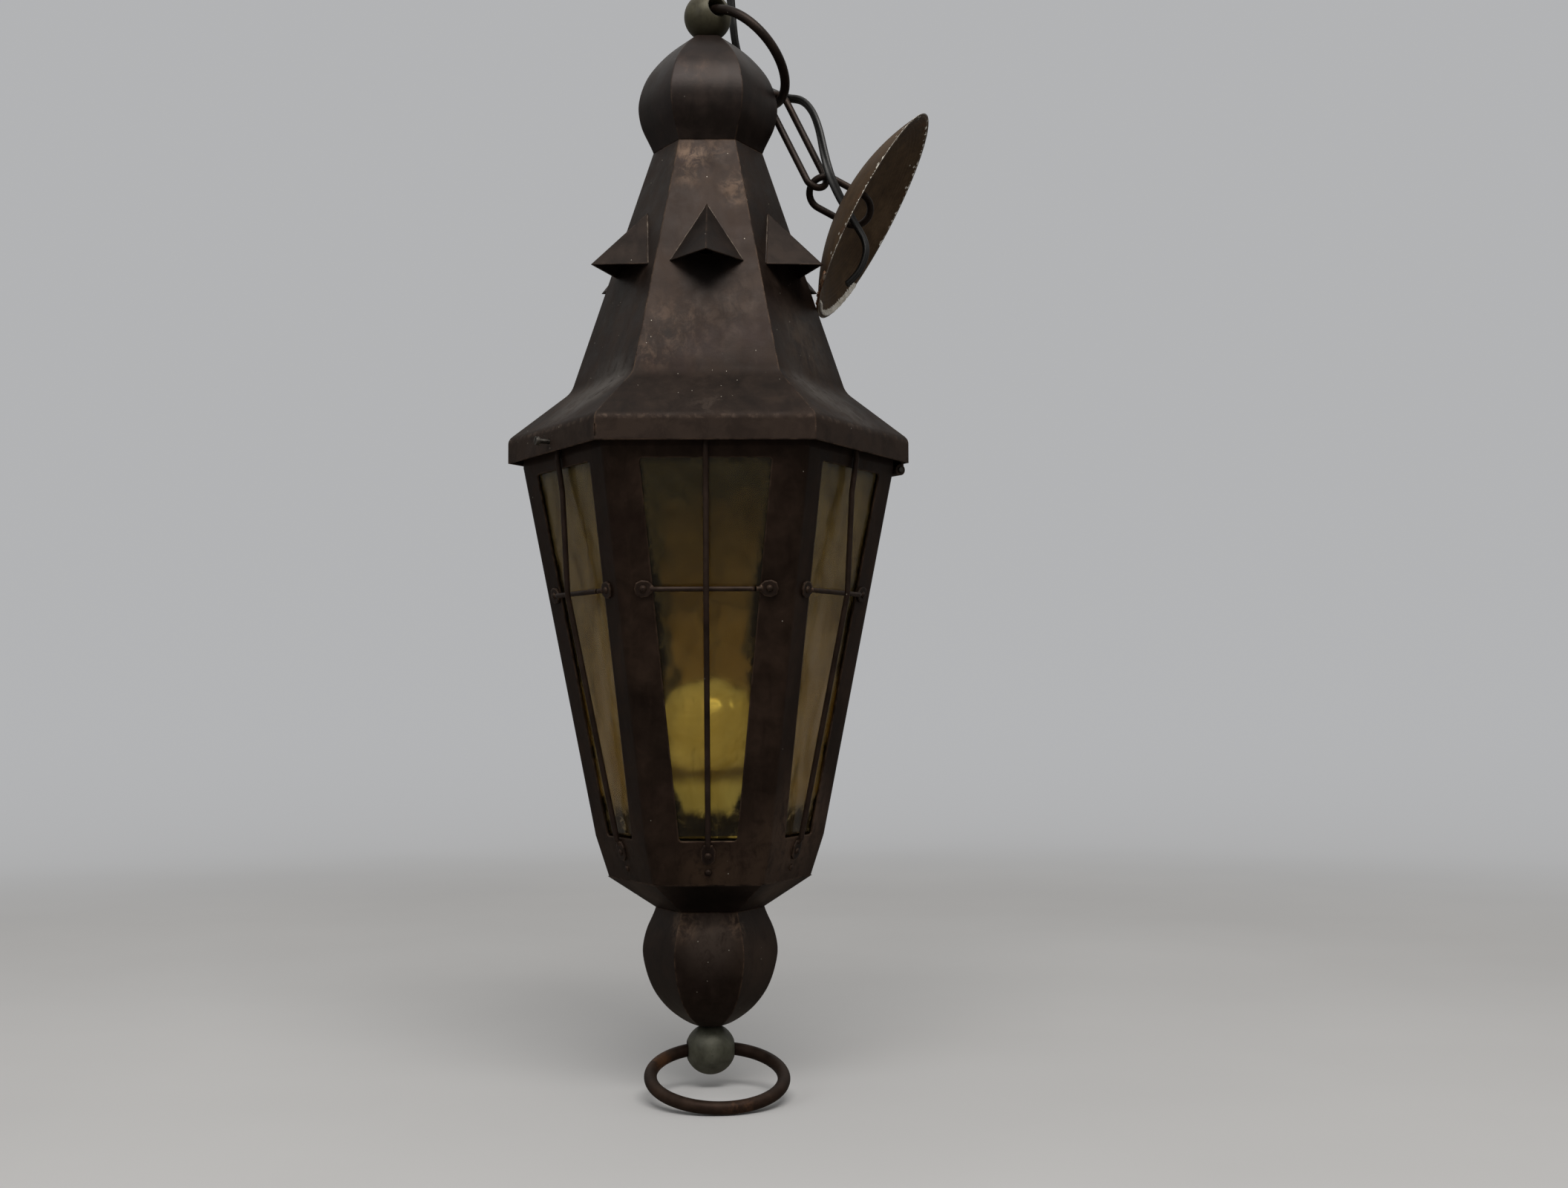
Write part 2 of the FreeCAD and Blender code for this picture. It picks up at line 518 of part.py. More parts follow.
fun = hexsolid(list(reversed(FUNNEL))).cut(hexsolid(inset(list(reversed(FUNNEL)), T_SHEET)))
put("bottom_funnel", fun)
lo_out = gored(LOWER_ORB)
lo_in = gored([(LOWER_ORB[0][0] - 1.5, LOWER_ORB[0][1] - 1.2)] + [(R - 1.5, z) for R, z in LOWER_ORB[1:-1]]
              + [(LOWER_ORB[-1][0] - 1.5, LOWER_ORB[-1][1] + 1.2)])
lo = lo_out.cut(lo_in).cut(cyl(V(0, 0, -400), V(0, 0, 1), 5.1, 140))
put("lower_orb", lo.Solids[0])

# bottom ball with a cross hole for the pull ring
h_bot = V(math.cos(PULL_AZ), math.sin(PULL_AZ), 0)
e_bot = V(math.sin(PULL_AZ), -math.cos(PULL_AZ), 0)
bpiv = V(0, 0, Z_BALL)
ball = Part.makeSphere(R_BALL, bpiv)
ball = ball.cut(Part.makeBox(60, 60, 20, V(-30, -30, LOWER_ORB[-1][1] - 0.1)))
ball = ball.cut(cyl(bpiv - h_bot * 25, h_bot, PULL_HOLE_R, 50))
ball = ball.cut(cyl(V(0, 0, -371.0), V(0, 0, 1), 5.05, 20))
put("bottom_ball", ball.Solids[0])
d_bot = e_bot * math.cos(PULL_DROP) - V(0, 0, 1) * math.sin(PULL_DROP)
put("pull_ring", torus(bpiv + d_bot * (PULL_MEAN_R - PULL_BACK), h_bot.cross(d_bot), PULL_MEAN_R, PULL_WIRE_R))
put("stem_tube", cyl(V(0, 0, -370.9), V(0, 0, 1), 5.0, 108.4).cut(cyl(V(0, 0, -380), V(0, 0, 1), 3.6, 140)))
put("stem_nut", hexsolid([(8.6, -285.9), (8.6, -281.0)]).cut(cyl(V(0, 0, -300), V(0, 0, 1), 5.05, 40)))

# lamp: saddle bracket, screw holder, lamp
br = Part.makeBox(96, 16, 2.0, V(-48, -8, -264.4))
br = br.cut(cyl(V(0, 0, -270), V(0, 0, 1), 5.1, 12))
for s in (-1, 1):
    tip = cyl(V(s * 48, 0, -264.4), V(0, 0, 1), 8.0, 2.0)
    br = br.fuse(tip)
put("holder_bracket", br.removeSplitter())
put("holder_nut", hexsolid([(8.0, -270.5), (8.0, -264.6)]).cut(cyl(V(0, 0, -280), V(0, 0, 1), 5.05, 30)))
prof = [(5.2, -262.2), (17.5, -262.2), (20.0, -258.5), (20.0, -247.0), (19.0, -236.0), (17.0, -233.0), (14.4, -233.0),
        (14.4, -256.0), (5.2, -256.0)]


def spun(profile, smooth=False):
    pts = [V(r, 0, z) for r, z in profile]
    s = Part.Face(Part.makePolygon(pts + [pts[0]])).revolve(V(0, 0, 0), V(0, 0, 1), 360)
    s = s if s.ShapeType == "Solid" else Part.Solid(s)
    if s.Volume < 0:
        s.reverse()
    return s


put("lampholder", spun(prof))
cap_p = [(0, -255.6), (4.6, -255.6), (6.4, -252.2), (11.6, -251.0), (13.2, -249.6), (13.2, -229.4), (0, -229.4)]
put("lamp_cap", spun(cap_p))
# lamp housing: tapered skirt up to the opal globe
put("lamp_housing", spun([(0, -229.3), (14.6, -229.3), (17.0, -225.0), (24.0, -208.0), (27.2, -198.5), (0, -198.5)]))
c = Part.BSplineCurve()
gl = [V(27.0, 0, -198.4), V(28.6, 0, -191.0), V(29.8, 0, -181.0), V(30.0, 0, -171.5), V(28.6, 0, -160.5), V(24.6, 0, -151.0),
      V(18.0, 0, -144.6), V(9.0, 0, -141.6), V(0, 0, BULB_TOP_Z)]
c.interpolate(gl)
w = Part.Wire([c.toShape(), Part.makeLine(gl[-1], V(0, 0, -198.4)), Part.makeLine(V(0, 0, -198.4), gl[0])])
globe = Part.Face(w).revolve(V(0, 0, 0), V(0, 0, 1), 360)
globe = globe if globe.ShapeType == "Solid" else Part.Solid(globe)
if globe.Volume < 0:
    globe.reverse()
put("lamp_globe", globe)

# ------------------------------------------------------------------ hinge and lock
hax = pol(30, 0, 0, 1)            # along the right-back face
hn = pol(30, 1, 0)
hc = pol(30, HINGE_AP, HINGE_Z)
count = 5
seg = 2 * HINGE_HALF / count
roof_kn, cage_kn = [], []
for i in range(count):
    a = -HINGE_HALF + i * seg + 0.2
    L = seg - 0.4
    base = hc + hax * a
    kn = cyl(base, hax, KNUCKLE_R, L)
    if i % 2 == 0:
        # roof knuckle: web up to the leaf soldered inside the fascia
        web = prism([base + hn * 0.9 + V(0, 0, 0), base + hn * 2.6 + V(0, 0, 0), base + hn * 2.6 + V(0, 0, 7.0),
                     base + hn * 0.9 + V(0, 0, 7.0)], hax * L)
        roof_kn.append(kn.fuse(web))
    else:
        in_ = HINGE_AP - cage_ap(-10.0)
        web = prism([base + hn * -3.4 + V(0, 0, -0.6), base + hn * -2.2 + V(0, 0, -0.6), base + hn * -2.2 + V(0, 0, -4.0),
                     base + hn * -3.4 + V(0, 0, -4.0)], hax * L)
        cage_kn.append(kn.fuse(web))
leaf_r = prism([hc + hax * -HINGE_HALF + hn * 0.9 + V(0, 0, 5.0), hc + hax * -HINGE_HALF + hn * 2.6 + V(0, 0, 5.0),
                hc + hax * -HINGE_HALF + hn * 2.6 + V(0, 0, 14.0), hc + hax * -HINGE_HALF + hn * 0.9 + V(0, 0, 14.0)],
               hax * (2 * HINGE_HALF))
for k in roof_kn:
    leaf_r = leaf_r.fuse(k)
leaf_r = leaf_r.cut(cyl(hc + hax * (-HINGE_HALF - 5), hax, HINGE_PIN_R + 0.03, 2 * HINGE_HALF + 10))
leaf_r = leaf_r.removeSplitter()
put("hinge_leaf_roof", leaf_r.Solids[0] if len(leaf_r.Solids) == 1 else leaf_r)
# cage leaf: a strip down the outside of the cage's top band, under the eave
z0, z1 = -8.0, -17.0
s_ = slope
lp = [pol(30, cage_ap(z0) + 0.1, z0), pol(30, cage_ap(z0) + 1.4, z0), pol(30, cage_ap(z1) + 1.4, z1), pol(30, cage_ap(z1) + 0.1, z1)]
leaf_c = prism([p + hax * (-HINGE_HALF + seg * 0.5) for p in lp], hax * (2 * HINGE_HALF - seg))
for k in cage_kn:
    leaf_c = leaf_c.fuse(k)
# webs that join each cage knuckle to the strip
for i in (1, 3):
    a = -HINGE_HALF + i * seg + 0.2
    b = hc + hax * a
    strap = prism([pol(30, cage_ap(-3.5) + 0.12, -3.5) + hax * a, pol(30, cage_ap(-3.5) + 1.5, -3.5) + hax * a,
                   pol(30, cage_ap(z0 - 1) + 1.4, z0 - 1) + hax * a, pol(30, cage_ap(z0 - 1) + 0.12, z0 - 1) + hax * a], hax * (seg - 0.4))
    leaf_c = leaf_c.fuse(strap)
leaf_c = leaf_c.cut(cyl(hc + hax * (-HINGE_HALF - 5), hax, HINGE_PIN_R + 0.03, 2 * HINGE_HALF + 10))
leaf_c = leaf_c.cut(cage_body).removeSplitter()
put("hinge_leaf_cage", leaf_c.Solids[0] if len(leaf_c.Solids) == 1 else leaf_c)
put("hinge_pin", cyl(hc + hax * (-HINGE_HALF - 0.8), hax, HINGE_PIN_R, 2 * HINGE_HALF + 1.6))

sc = lambda r: pol(210, r, SCREW_Z)
fo = R_EAVE * C30
nutb = cyl(sc(fo - T_SHEET - 0.05 - 3.0), lock_n, 4.2, 3.0).cut(cyl(sc(fo - 10), lock_n, SCREW_R + 0.05, 12))
put("lock_nut", nutb)
tip = fo - T_SHEET - 3.0 - 1.6
head = cyl(sc(fo + SCREW_OUT - 1.2), lock_n, 2.6, 2.4)
slot_dir = V(0, 0, 1) * math.cos(math.radians(35)) + pol(210, 0, 0, 1) * math.sin(math.radians(35))
side = lock_n.cross(slot_dir)
p0 = sc(fo + SCREW_OUT + 0.1) - slot_dir * 4 - side * 0.45
head = head.cut(prism([p0, p0 + slot_dir * 8, p0 + slot_dir * 8 + side * 0.9, p0 + side * 0.9], lock_n * 3))
screw = head.fuse(cyl(sc(tip), lock_n, SCREW_R, fo + SCREW_OUT - 1.0 - tip)).removeSplitter()
put("lock_screw", screw.Solids[0])

for name, s in OUT.items():
    n_sol = len(s.Solids)
    if not s.isValid() or n_sol < 1 or s.Volume <= 0 or (n_sol != 1 and name not in ("rod_rivets", "pane_clips")):
        print("LOOK", name, "valid", s.isValid(), "solids", n_sol, "volume", round(s.Volume, 1))
    s.exportStep("parts/%s.step" % name)
print(len(OUT), "pieces")
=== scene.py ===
import bpy, bmesh, math, random
from mathutils import Vector, Matrix
from mathutils import noise as mnoise


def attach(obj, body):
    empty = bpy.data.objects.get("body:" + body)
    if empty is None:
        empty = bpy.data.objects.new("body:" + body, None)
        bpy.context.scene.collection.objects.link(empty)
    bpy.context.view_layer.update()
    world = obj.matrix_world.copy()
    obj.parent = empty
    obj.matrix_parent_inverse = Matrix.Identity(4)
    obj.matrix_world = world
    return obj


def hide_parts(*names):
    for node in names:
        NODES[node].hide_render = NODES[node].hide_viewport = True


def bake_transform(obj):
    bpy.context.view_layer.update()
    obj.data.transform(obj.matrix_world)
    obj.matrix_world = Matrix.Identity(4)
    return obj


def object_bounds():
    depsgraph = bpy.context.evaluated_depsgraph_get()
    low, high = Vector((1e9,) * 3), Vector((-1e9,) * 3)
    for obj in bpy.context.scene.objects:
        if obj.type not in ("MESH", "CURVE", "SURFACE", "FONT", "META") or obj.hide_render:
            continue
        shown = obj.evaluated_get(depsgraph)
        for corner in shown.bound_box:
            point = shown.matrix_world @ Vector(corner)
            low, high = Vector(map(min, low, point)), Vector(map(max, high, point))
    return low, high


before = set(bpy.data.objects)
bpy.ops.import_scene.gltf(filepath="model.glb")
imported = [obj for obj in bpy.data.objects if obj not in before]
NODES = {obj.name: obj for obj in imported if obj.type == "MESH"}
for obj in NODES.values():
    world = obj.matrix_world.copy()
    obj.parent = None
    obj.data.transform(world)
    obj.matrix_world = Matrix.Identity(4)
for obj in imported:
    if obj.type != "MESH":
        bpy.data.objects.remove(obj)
cad_lo, cad_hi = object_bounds()
scene = bpy.context.scene
random.seed(7)
DROP = 300.5                      # working heights are measured from the eave; the frame's origin is the hanging point
C30 = math.cos(math.pi / 6)


def mm(x, y, z):
    return Vector((x, y, z - DROP)) * 0.001


def pol(az, r, z, t=0.0):
    a = math.radians(az)
    return mm(r * math.cos(a) - t * math.sin(a), r * math.sin(a) + t * math.cos(a), z)


def new_object(name, mesh):
    o = bpy.data.objects.new(name, mesh)
    scene.collection.objects.link(o)
    return o


# ------------------------------------------------------------------ camera
cam = bpy.data.cameras.new("camera")
cam.sensor_fit = "HORIZONTAL"
cam.sensor_width = 36.0
cam.lens = 2395.06 / 2112 * 36.0
cam.clip_start = 0.01
cam.clip_end = 50
cam_o = bpy.data.objects.new("camera", cam)
scene.collection.objects.link(cam_o)
right = Vector((0.99971923, -0.02316806, -0.00496986))
fwd = Vector((0.02339542, 0.99837227, 0.05201411))
up = Vector((0.00375671, -0.05211578, 0.99863398))
m = Matrix.Identity(4)
for i in range(3):
    m[i][0], m[i][1], m[i][2] = right[i], up[i], -fwd[i]
m.translation = Vector((0.021575, -1.158844, -0.446657))
cam_o.matrix_world = m
scene.camera = cam_o

# ------------------------------------------------------------------ flex: flat twin lead along its route
ROUTE = [(6.0, 0.0, 306.0), (6.0, 0.0, 315.0), (6.2, 0.3, 324.6), (8.6, 7.5, 332.4), (12.2, 17.9, 332.4),
         (14.8, 25.4, 324.6), (15.8, 26.6, 312.5), (16.8, 27.5, 301.0), (18.4, 29.8, 289.0), (22.6, 33.4, 276.5),
         (31.0, 35.5, 266.0), (42.0, 33.0, 258.5), (53.6, 30.2, 253.0), (61.4, 24.7, 250.6), (66.4, 18.7, 245.2),
         (70.8, 12.4, 236.2), (74.3, 8.0, 223.3), (76.2, 4.0, 210.6), (78.3, -0.7, 198.9), (81.0, -2.4, 188.9),
         (86.0, -1.4, 177.9), (91.5, 0.5, 168.5), (98.6, 1.0, 156.5), (103.2, -0.6, 148.0), (104.2, -2.4, 139.5),
         (101.2, -3.6, 129.5), (95.6, -4.2, 121.4), (90.7, -4.5, 117.4)]
cu = bpy.data.curves.new("flex_line", "CURVE")
cu.dimensions = "3D"
sp = cu.splines.new("NURBS")
sp.points.add(len(ROUTE) - 1)
for p, q in zip(sp.points, ROUTE):
    p.co = (*mm(*q), 1.0)
sp.order_u = 3
sp.use_endpoint_u = True
sp.resolution_u = 8
line_o = bpy.data.objects.new("flex_line", cu)
scene.collection.objects.link(line_o)
bpy.context.view_layer.update()
line_m = bpy.data.meshes.new_from_object(line_o)
flex_path = [v.co.copy() for v in line_m.vertices]
bpy.data.objects.remove(line_o)
bpy.data.meshes.remove(line_m)


def sweep(bm, path, outline, wide0, roll=lambda s: 0.0, size=lambda s: 1.0, caps=True, mat=0):
    """Carry a flat outline (list of (a, b) in metres) along a path with a steady frame."""
    T0 = (path[1] - path[0]).normalized()
    W = (wide0 - T0 * wide0.dot(T0)).normalized()
    rings, s = [], 0.0
    for i, p in enumerate(path):
        a = path[max(i - 1, 0)]
        b = path[min(i + 1, len(path) - 1)]
        T = (b - a).normalized()
        W = (W - T * W.dot(T)).normalized()
        if i:
            s += (p - path[i - 1]).length
        r = roll(s)
        w = W * math.cos(r) + T.cross(W) * math.sin(r)
        v = T.cross(w)
        k = size(s)
        rings.append([bm.verts.new(p + w * x * k + v * y * k) for x, y in outline])
    n = len(outline)
    for A, B in zip(rings, rings[1:]):
        for j in range(n):
            f = bm.faces.new((A[j], A[(j + 1) % n], B[(j + 1) % n], B[j]))
            f.smooth = True
            f.material_index = mat
    if caps:
        bm.faces.new(list(reversed(rings[0]))).material_index = mat
        bm.faces.new(rings[-1]).material_index = mat
    return rings


def twin_outline(r, off, n=10):
    """Figure-of-eight section of a flat twin lead."""
    th = math.acos(0.52 * r / r) * 0.9
    out = []
    for side in (1, -1):
        for k in range(n + 1):
            a = -math.pi + th + (2 * math.pi - 2 * th) * k / n
            out.append((side * off + side * r * math.cos(a), side * r * math.sin(a)))
    return out


def tube(name, rings):
    """Closed tube through rings of points, with sharp edges only round its two ends."""
    bm = bmesh.new()
    rows = [[bm.verts.new(q) for q in r] for r in rings]
    n = len(rows[0])
    for A, B in zip(rows, rows[1:]):
        for j in range(n):
            bm.faces.new((A[j], A[(j + 1) % n], B[(j + 1) % n], B[j])).smooth = True
    for cap in (list(reversed(rows[0])), rows[-1]):
        for e in bm.faces.new(cap).edges:
            e.smooth = False
    me = bpy.data.meshes.new(name)
    bm.to_mesh(me)
    bm.free()
    o = new_object(name, me)
    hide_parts("flex")
    return o


# one lead in two lengths that meet beside the ring, because it crosses two joints: the finial's and the upper link's
bm = bmesh.new()
flex_rings = [[v.co.copy() for v in r] for r in sweep(bm, flex_path, twin_outline(0.00155, 0.00143), Vector((0.25, 1, 0)), roll=lambda s: 0.5 + 1.6 * math.sin(s * 14.0))]
bm.free()
FLEX_MEET = min(range(len(flex_path)), key=lambda i: (flex_path[i] - mm(*ROUTE[9])).length)
flex = tube("flex_lead", flex_rings[:FLEX_MEET + 1])
flex_tail = tube("flex_tail", flex_rings[FLEX_MEET:])


# ------------------------------------------------------------------ material helper
class Mat:
    def __init__(self, name):
        self.m = bpy.data.materials.new(name)
        self.m.use_nodes = True
        self.t = self.m.node_tree
        self.t.nodes.clear()
        self.out = self.node("ShaderNodeOutputMaterial")
        self.b = self.node("ShaderNodeBsdfPrincipled")
        self.t.links.new(self.b.outputs[0], self.out.inputs["Surface"])
        self.P = self.node("ShaderNodeTexCoord").outputs["Object"]

    def node(self, kind, **kw):
        n = self.t.nodes.new(kind)
        for k, v in kw.items():
            setattr(n, k, v)
        return n

    def put(self, sock, v):
        if isinstance(v, bpy.types.NodeSocket):
            self.t.links.new(v, sock)
        elif sock.type == "RGBA" and len(v) == 3:
            sock.default_value = (*v, 1.0)
        else:
            sock.default_value = v

    def set(self, **kw):
        for k, v in kw.items():
            self.put(self.b.inputs[k.replace("_", " ")], v)

    def at(self, scale=(1, 1, 1), loc=(0, 0, 0), rot=(0, 0, 0), vec=None):
        n = self.node("ShaderNodeMapping")
        self.put(n.inputs["Vector"], vec or self.P)
        n.inputs["Scale"].default_value = scale
        n.inputs["Location"].default_value = loc
        n.inputs["Rotation"].default_value = rot
        return n.outputs[0]

    def noise(self, scale, detail=4.0, rough=0.55, dist=0.0, vec=None):
        n = self.node("ShaderNodeTexNoise")
        self.put(n.inputs["Vector"], vec or self.P)
        n.inputs["Scale"].default_value = scale
        n.inputs["Detail"].default_value = detail
        n.inputs["Roughness"].default_value = rough
        n.inputs["Distortion"].default_value = dist
        return n.outputs[0]

    def vor(self, scale, feature="F1", vec=None, rand=1.0):
        n = self.node("ShaderNodeTexVoronoi", feature=feature)
        self.put(n.inputs["Vector"], vec or self.P)
        n.inputs["Scale"].default_value = scale
        n.inputs["Randomness"].default_value = rand
        return n

    def ramp(self, fac, stops):
        n = self.node("ShaderNodeValToRGB")
        self.put(n.inputs[0], fac)
        e = n.color_ramp.elements
        e[0].position, e[0].color = stops[0][0], (*stops[0][1], 1)
        e[1].position, e[1].color = stops[1][0], (*stops[1][1], 1)
        for p, c in stops[2:]:
            x = e.new(p)
            x.color = (*c, 1)
        return n.outputs[0]

    def mr(self, v, a, b, c=0.0, d=1.0, kind="SMOOTHSTEP"):
        n = self.node("ShaderNodeMapRange", interpolation_type=kind)
        self.put(n.inputs[0], v)
        for i, x in zip((1, 2, 3, 4), (a, b, c, d)):
            self.put(n.inputs[i], x)
        return n.outputs[0]

    def math(self, op, a, b=0.0, clamp=False):
        n = self.node("ShaderNodeMath", operation=op, use_clamp=clamp)
        self.put(n.inputs[0], a)
        self.put(n.inputs[1], b)
        return n.outputs[0]

    def mix(self, fac, a, b, mode="MIX"):
        n = self.node("ShaderNodeMix", data_type="RGBA", blend_type=mode)
        self.put(n.inputs[0], fac)
        self.put(n.inputs[6], a)
        self.put(n.inputs[7], b)
        return n.outputs[2]

    def dist(self, p):
        n = self.node("ShaderNodeVectorMath", operation="DISTANCE")
        self.put(n.inputs[0], self.P)
        n.inputs[1].default_value = p
        return n.outputs["Value"]

    def axis(self, i):
        n = self.node("ShaderNodeSeparateXYZ")
        self.put(n.inputs[0], self.P)
        return n.outputs[i]

    def normal_z(self):
        g = self.node("ShaderNodeNewGeometry")
        n = self.node("ShaderNodeSeparateXYZ")
        self.put(n.inputs[0], g.outputs["Normal"])
        return n.outputs[2]

    def edge(self, radius, lo=0.999, hi=0.93, samples=6):
        """0 on flat areas, 1 along edges."""
        bv = self.node("ShaderNodeBevel", samples=samples)
        bv.inputs["Radius"].default_value = radius
        g = self.node("ShaderNodeNewGeometry")
        d = self.node("ShaderNodeVectorMath", operation="DOT_PRODUCT")
        self.put(d.inputs[0], bv.outputs[0])
        self.put(d.inputs[1], g.outputs["True Normal"])
        return self.mr(d.outputs["Value"], lo, hi, kind="LINEAR"), bv.outputs[0]

    def bump(self, height, strength, distance, normal=None):
        n = self.node("ShaderNodeBump")
        n.inputs["Strength"].default_value = strength
        n.inputs["Distance"].default_value = distance
        self.put(n.inputs["Height"], height)
        if normal is not None:
            self.put(n.inputs["Normal"], normal)
        return n.outputs[0]


def bronze(name, dark=(0.0150, 0.0096, 0.0074), mid=(0.0295, 0.0192, 0.0148), light=(0.053, 0.0355, 0.0272), tan=(0.165, 0.106, 0.071),
           wear=0.8, patches=(), lines=(), low=None, seam=None, metallic=0.45, rough=(0.36, 0.58), streak=0.35, specks=0.8, dust=0.12, bump=0.2, shift=0.0, spec=0.22, speck_at=0.74):
    g = Mat(name)
    big = g.noise(15, 5, 0.62, 0.6, g.at(loc=(shift, shift * 0.7, 0)))
    mott = g.noise(74, 6, 0.62, 0.3)
    fine = g.noise(460, 4, 0.6)
    tone = g.math("ADD", g.math("MULTIPLY", big, 0.55), g.math("MULTIPLY", mott, 0.45))
    col = g.ramp(tone, [(0.34, dark), (0.66, light), (0.50, mid)])
    # purple cast in places
    col = g.mix(g.math("MULTIPLY", g.mr(g.noise(24, 3, 0.5, 0.0, g.at(loc=(3, 1, 2))), 0.5, 0.72), 0.45), col, (mid[0], mid[1] * 0.88, mid[2] * 1.05))
    # runs down the sheet
    run = g.noise(1.0, 5, 0.6, 0.4, g.at(scale=(120, 120, 11)))
    col = g.mix(g.math("MULTIPLY", g.mr(run, 0.52, 0.76), streak), col, light)
    col = g.mix(g.math("MULTIPLY", g.mr(run, 0.46, 0.28), streak), col, dark)
    # places rubbed or stained, and on some parts painted light or shade, as noted where each list is given
    for p, r, c, s, lo, hi in patches:
        d = g.mr(g.dist(p), r, r * 0.15)
        k = g.math("MULTIPLY", d, g.mr(g.noise(120, 7, 0.72, 0.5, g.at(scale=(1, 1, 0.7))), lo, hi))
        col = g.mix(g.math("MULTIPLY", k, s), col, c)
    # painted shade: the tone deepens below a height; lower still, a lighter mottled band is mixed in
    if low:
        z0, z1, z2, z3, k, lift = low
        col = g.mix(g.math("MULTIPLY", g.mr(g.axis(2), z0, z1, 0.0, k), g.mr(g.axis(2), z3, z2)), col, (0.0, 0.0, 0.0))
        col = g.mix(g.math("MULTIPLY", g.mr(g.axis(2), z2, z3, 0.0, lift), g.mr(g.noise(64, 6, 0.68, 0.5, g.at(loc=(5, 9, 1))), 0.36, 0.62, 0.35, 1.15)), col, light)
    # level lines rubbed along a bend
    for z, w_, c, s in lines:
        d = g.mr(g.math("ABSOLUTE", g.math("SUBTRACT", g.axis(2), z)), w_, w_ * 0.2)
        k = g.math("MULTIPLY", d, g.mr(g.noise(150, 6, 0.68, 0.4, g.at(loc=(7, 2, 5))), 0.46, 0.64))
        col = g.mix(g.math("MULTIPLY", k, s), col, c)
    e, bn = g.edge(0.0016)
    worn = g.math("MULTIPLY", e, g.mr(g.noise(120, 5, 0.6), 0.36, 0.62))
    if seam is not None:
        # two sheets meet flush here, so the seam is neither worn nor rounded
        clear = g.mr(g.math("ABSOLUTE", g.math("SUBTRACT", g.axis(2), seam)), 0.0018, 0.0032)
        worn = g.math("MULTIPLY", worn, clear)
        mv = g.node("ShaderNodeMix", data_type="VECTOR")
        g.put(mv.inputs[0], clear)
        g.put(mv.inputs[4], g.node("ShaderNodeNewGeometry").outputs["Normal"])
        g.put(mv.inputs[5], bn)
        bn = mv.outputs[1]
    col = g.mix(g.math("MULTIPLY", worn, wear), col, tan)
    # dust where the sheet faces up
    nz = g.normal_z()
    du = g.math("MULTIPLY", g.mr(nz, 0.25, 0.95), g.mr(mott, 0.3, 0.65))
    col = g.mix(g.math("MULTIPLY", du, dust), col, (0.090, 0.073, 0.060))
    # small paint specks
    v = g.vor(150)
    sepc = g.node("ShaderNodeSeparateColor")
    g.put(sepc.inputs[0], v.outputs["Color"])
    sp_ = g.math("MULTIPLY", g.mr(v.outputs["Distance"], 0.052, 0.034), g.math("GREATER_THAN", sepc.outputs[0], speck_at))
    col = g.mix(g.math("MULTIPLY", sp_, specks), col, (0.62, 0.57, 0.48))
    ro = g.mr(mott, 0.28, 0.72, rough[0], rough[1], "LINEAR")
    ro = g.math("SUBTRACT", ro, g.math("MULTIPLY", worn, 0.08))
    if low:
        ro = g.math("ADD", ro, g.mr(g.axis(2), low[0], low[1], 0.0, 0.16))
    g.set(Base_Color=col, Metallic=metallic, Roughness=ro)
    g.b.inputs["Specular IOR Level"].default_value = spec
    h = g.math("ADD", g.math("MULTIPLY", mott, 0.6), g.math("MULTIPLY", fine, 0.4))
    n1 = g.bump(h, bump, 0.0006, bn)
    n2 = g.bump(g.noise(30, 2, 0.5), 0.25, 0.0016, n1)
    g.set(Normal=n2)
    return g.m


def dress(obj, mat):
    obj.data.materials.clear()
    obj.data.materials.append(mat)


TAN = (0.105, 0.068, 0.048)
GOLD = (0.150, 0.098, 0.066)
DUST_AND_SHEEN = (0.105, 0.093, 0.084)
BUFF = (0.070, 0.047, 0.035)
DARK_BELOW_HOOD = (0.011, 0.0085, 0.0078)
roof_patches = [
    (mm(-13.0, -34.5, 196.0), 0.017, GOLD, 0.58, 0.40, 0.66),
    (mm(-12.0, -37.5, 184.0), 0.018, GOLD, 0.46, 0.40, 0.66),
    (mm(3.0, -33.5, 201.0), 0.018, TAN, 0.44, 0.44, 0.66),
    (mm(19.5, -42.0, 168.0), 0.016, GOLD, 0.52, 0.40, 0.66),
    (mm(15.5, -40.1, 177.0), 0.018, TAN, 0.40, 0.44, 0.68),
    (mm(-0.8, -66.3, 86.0), 0.050, BUFF, 0.25, 0.40, 0.66),
    (mm(-21.3, -69.2, 76.2), 0.032, TAN, 0.35, 0.44, 0.66),
    (mm(17.7, -63.3, 96.0), 0.030, BUFF, 0.25, 0.40, 0.66),
    (mm(-34.0, -74.5, 58.0), 0.018, TAN, 0.45, 0.44, 0.62),
    # dust, and a painted sheen, in pale patches by the skirt's hips
    (mm(-60.0, -60.0, 40.0), 0.032, DUST_AND_SHEEN, 0.98, 0.28, 0.58),
    (mm(-77.0, -44.0, 33.0), 0.040, DUST_AND_SHEEN, 0.80, 0.28, 0.60),
    (mm(63.0, -61.5, 36.0), 0.028, DUST_AND_SHEEN, 0.80, 0.28, 0.58),
    (mm(84.0, -43.0, 26.0), 0.036, DUST_AND_SHEEN, 0.60, 0.28, 0.60),
    (mm(61.0, -33.0, 72.0), 0.042, (0.088, 0.060, 0.041), 0.55, 0.34, 0.62),
    (mm(3.0, -98.0, 13.0), 0.024, (0.085, 0.062, 0.049), 0.7, 0.47, 0.60),
    # a darker patch just below the front vent hood
    (mm(1.5, -59.0, 112.0), 0.024, DARK_BELOW_HOOD, 0.8, 0.28, 0.50),
]
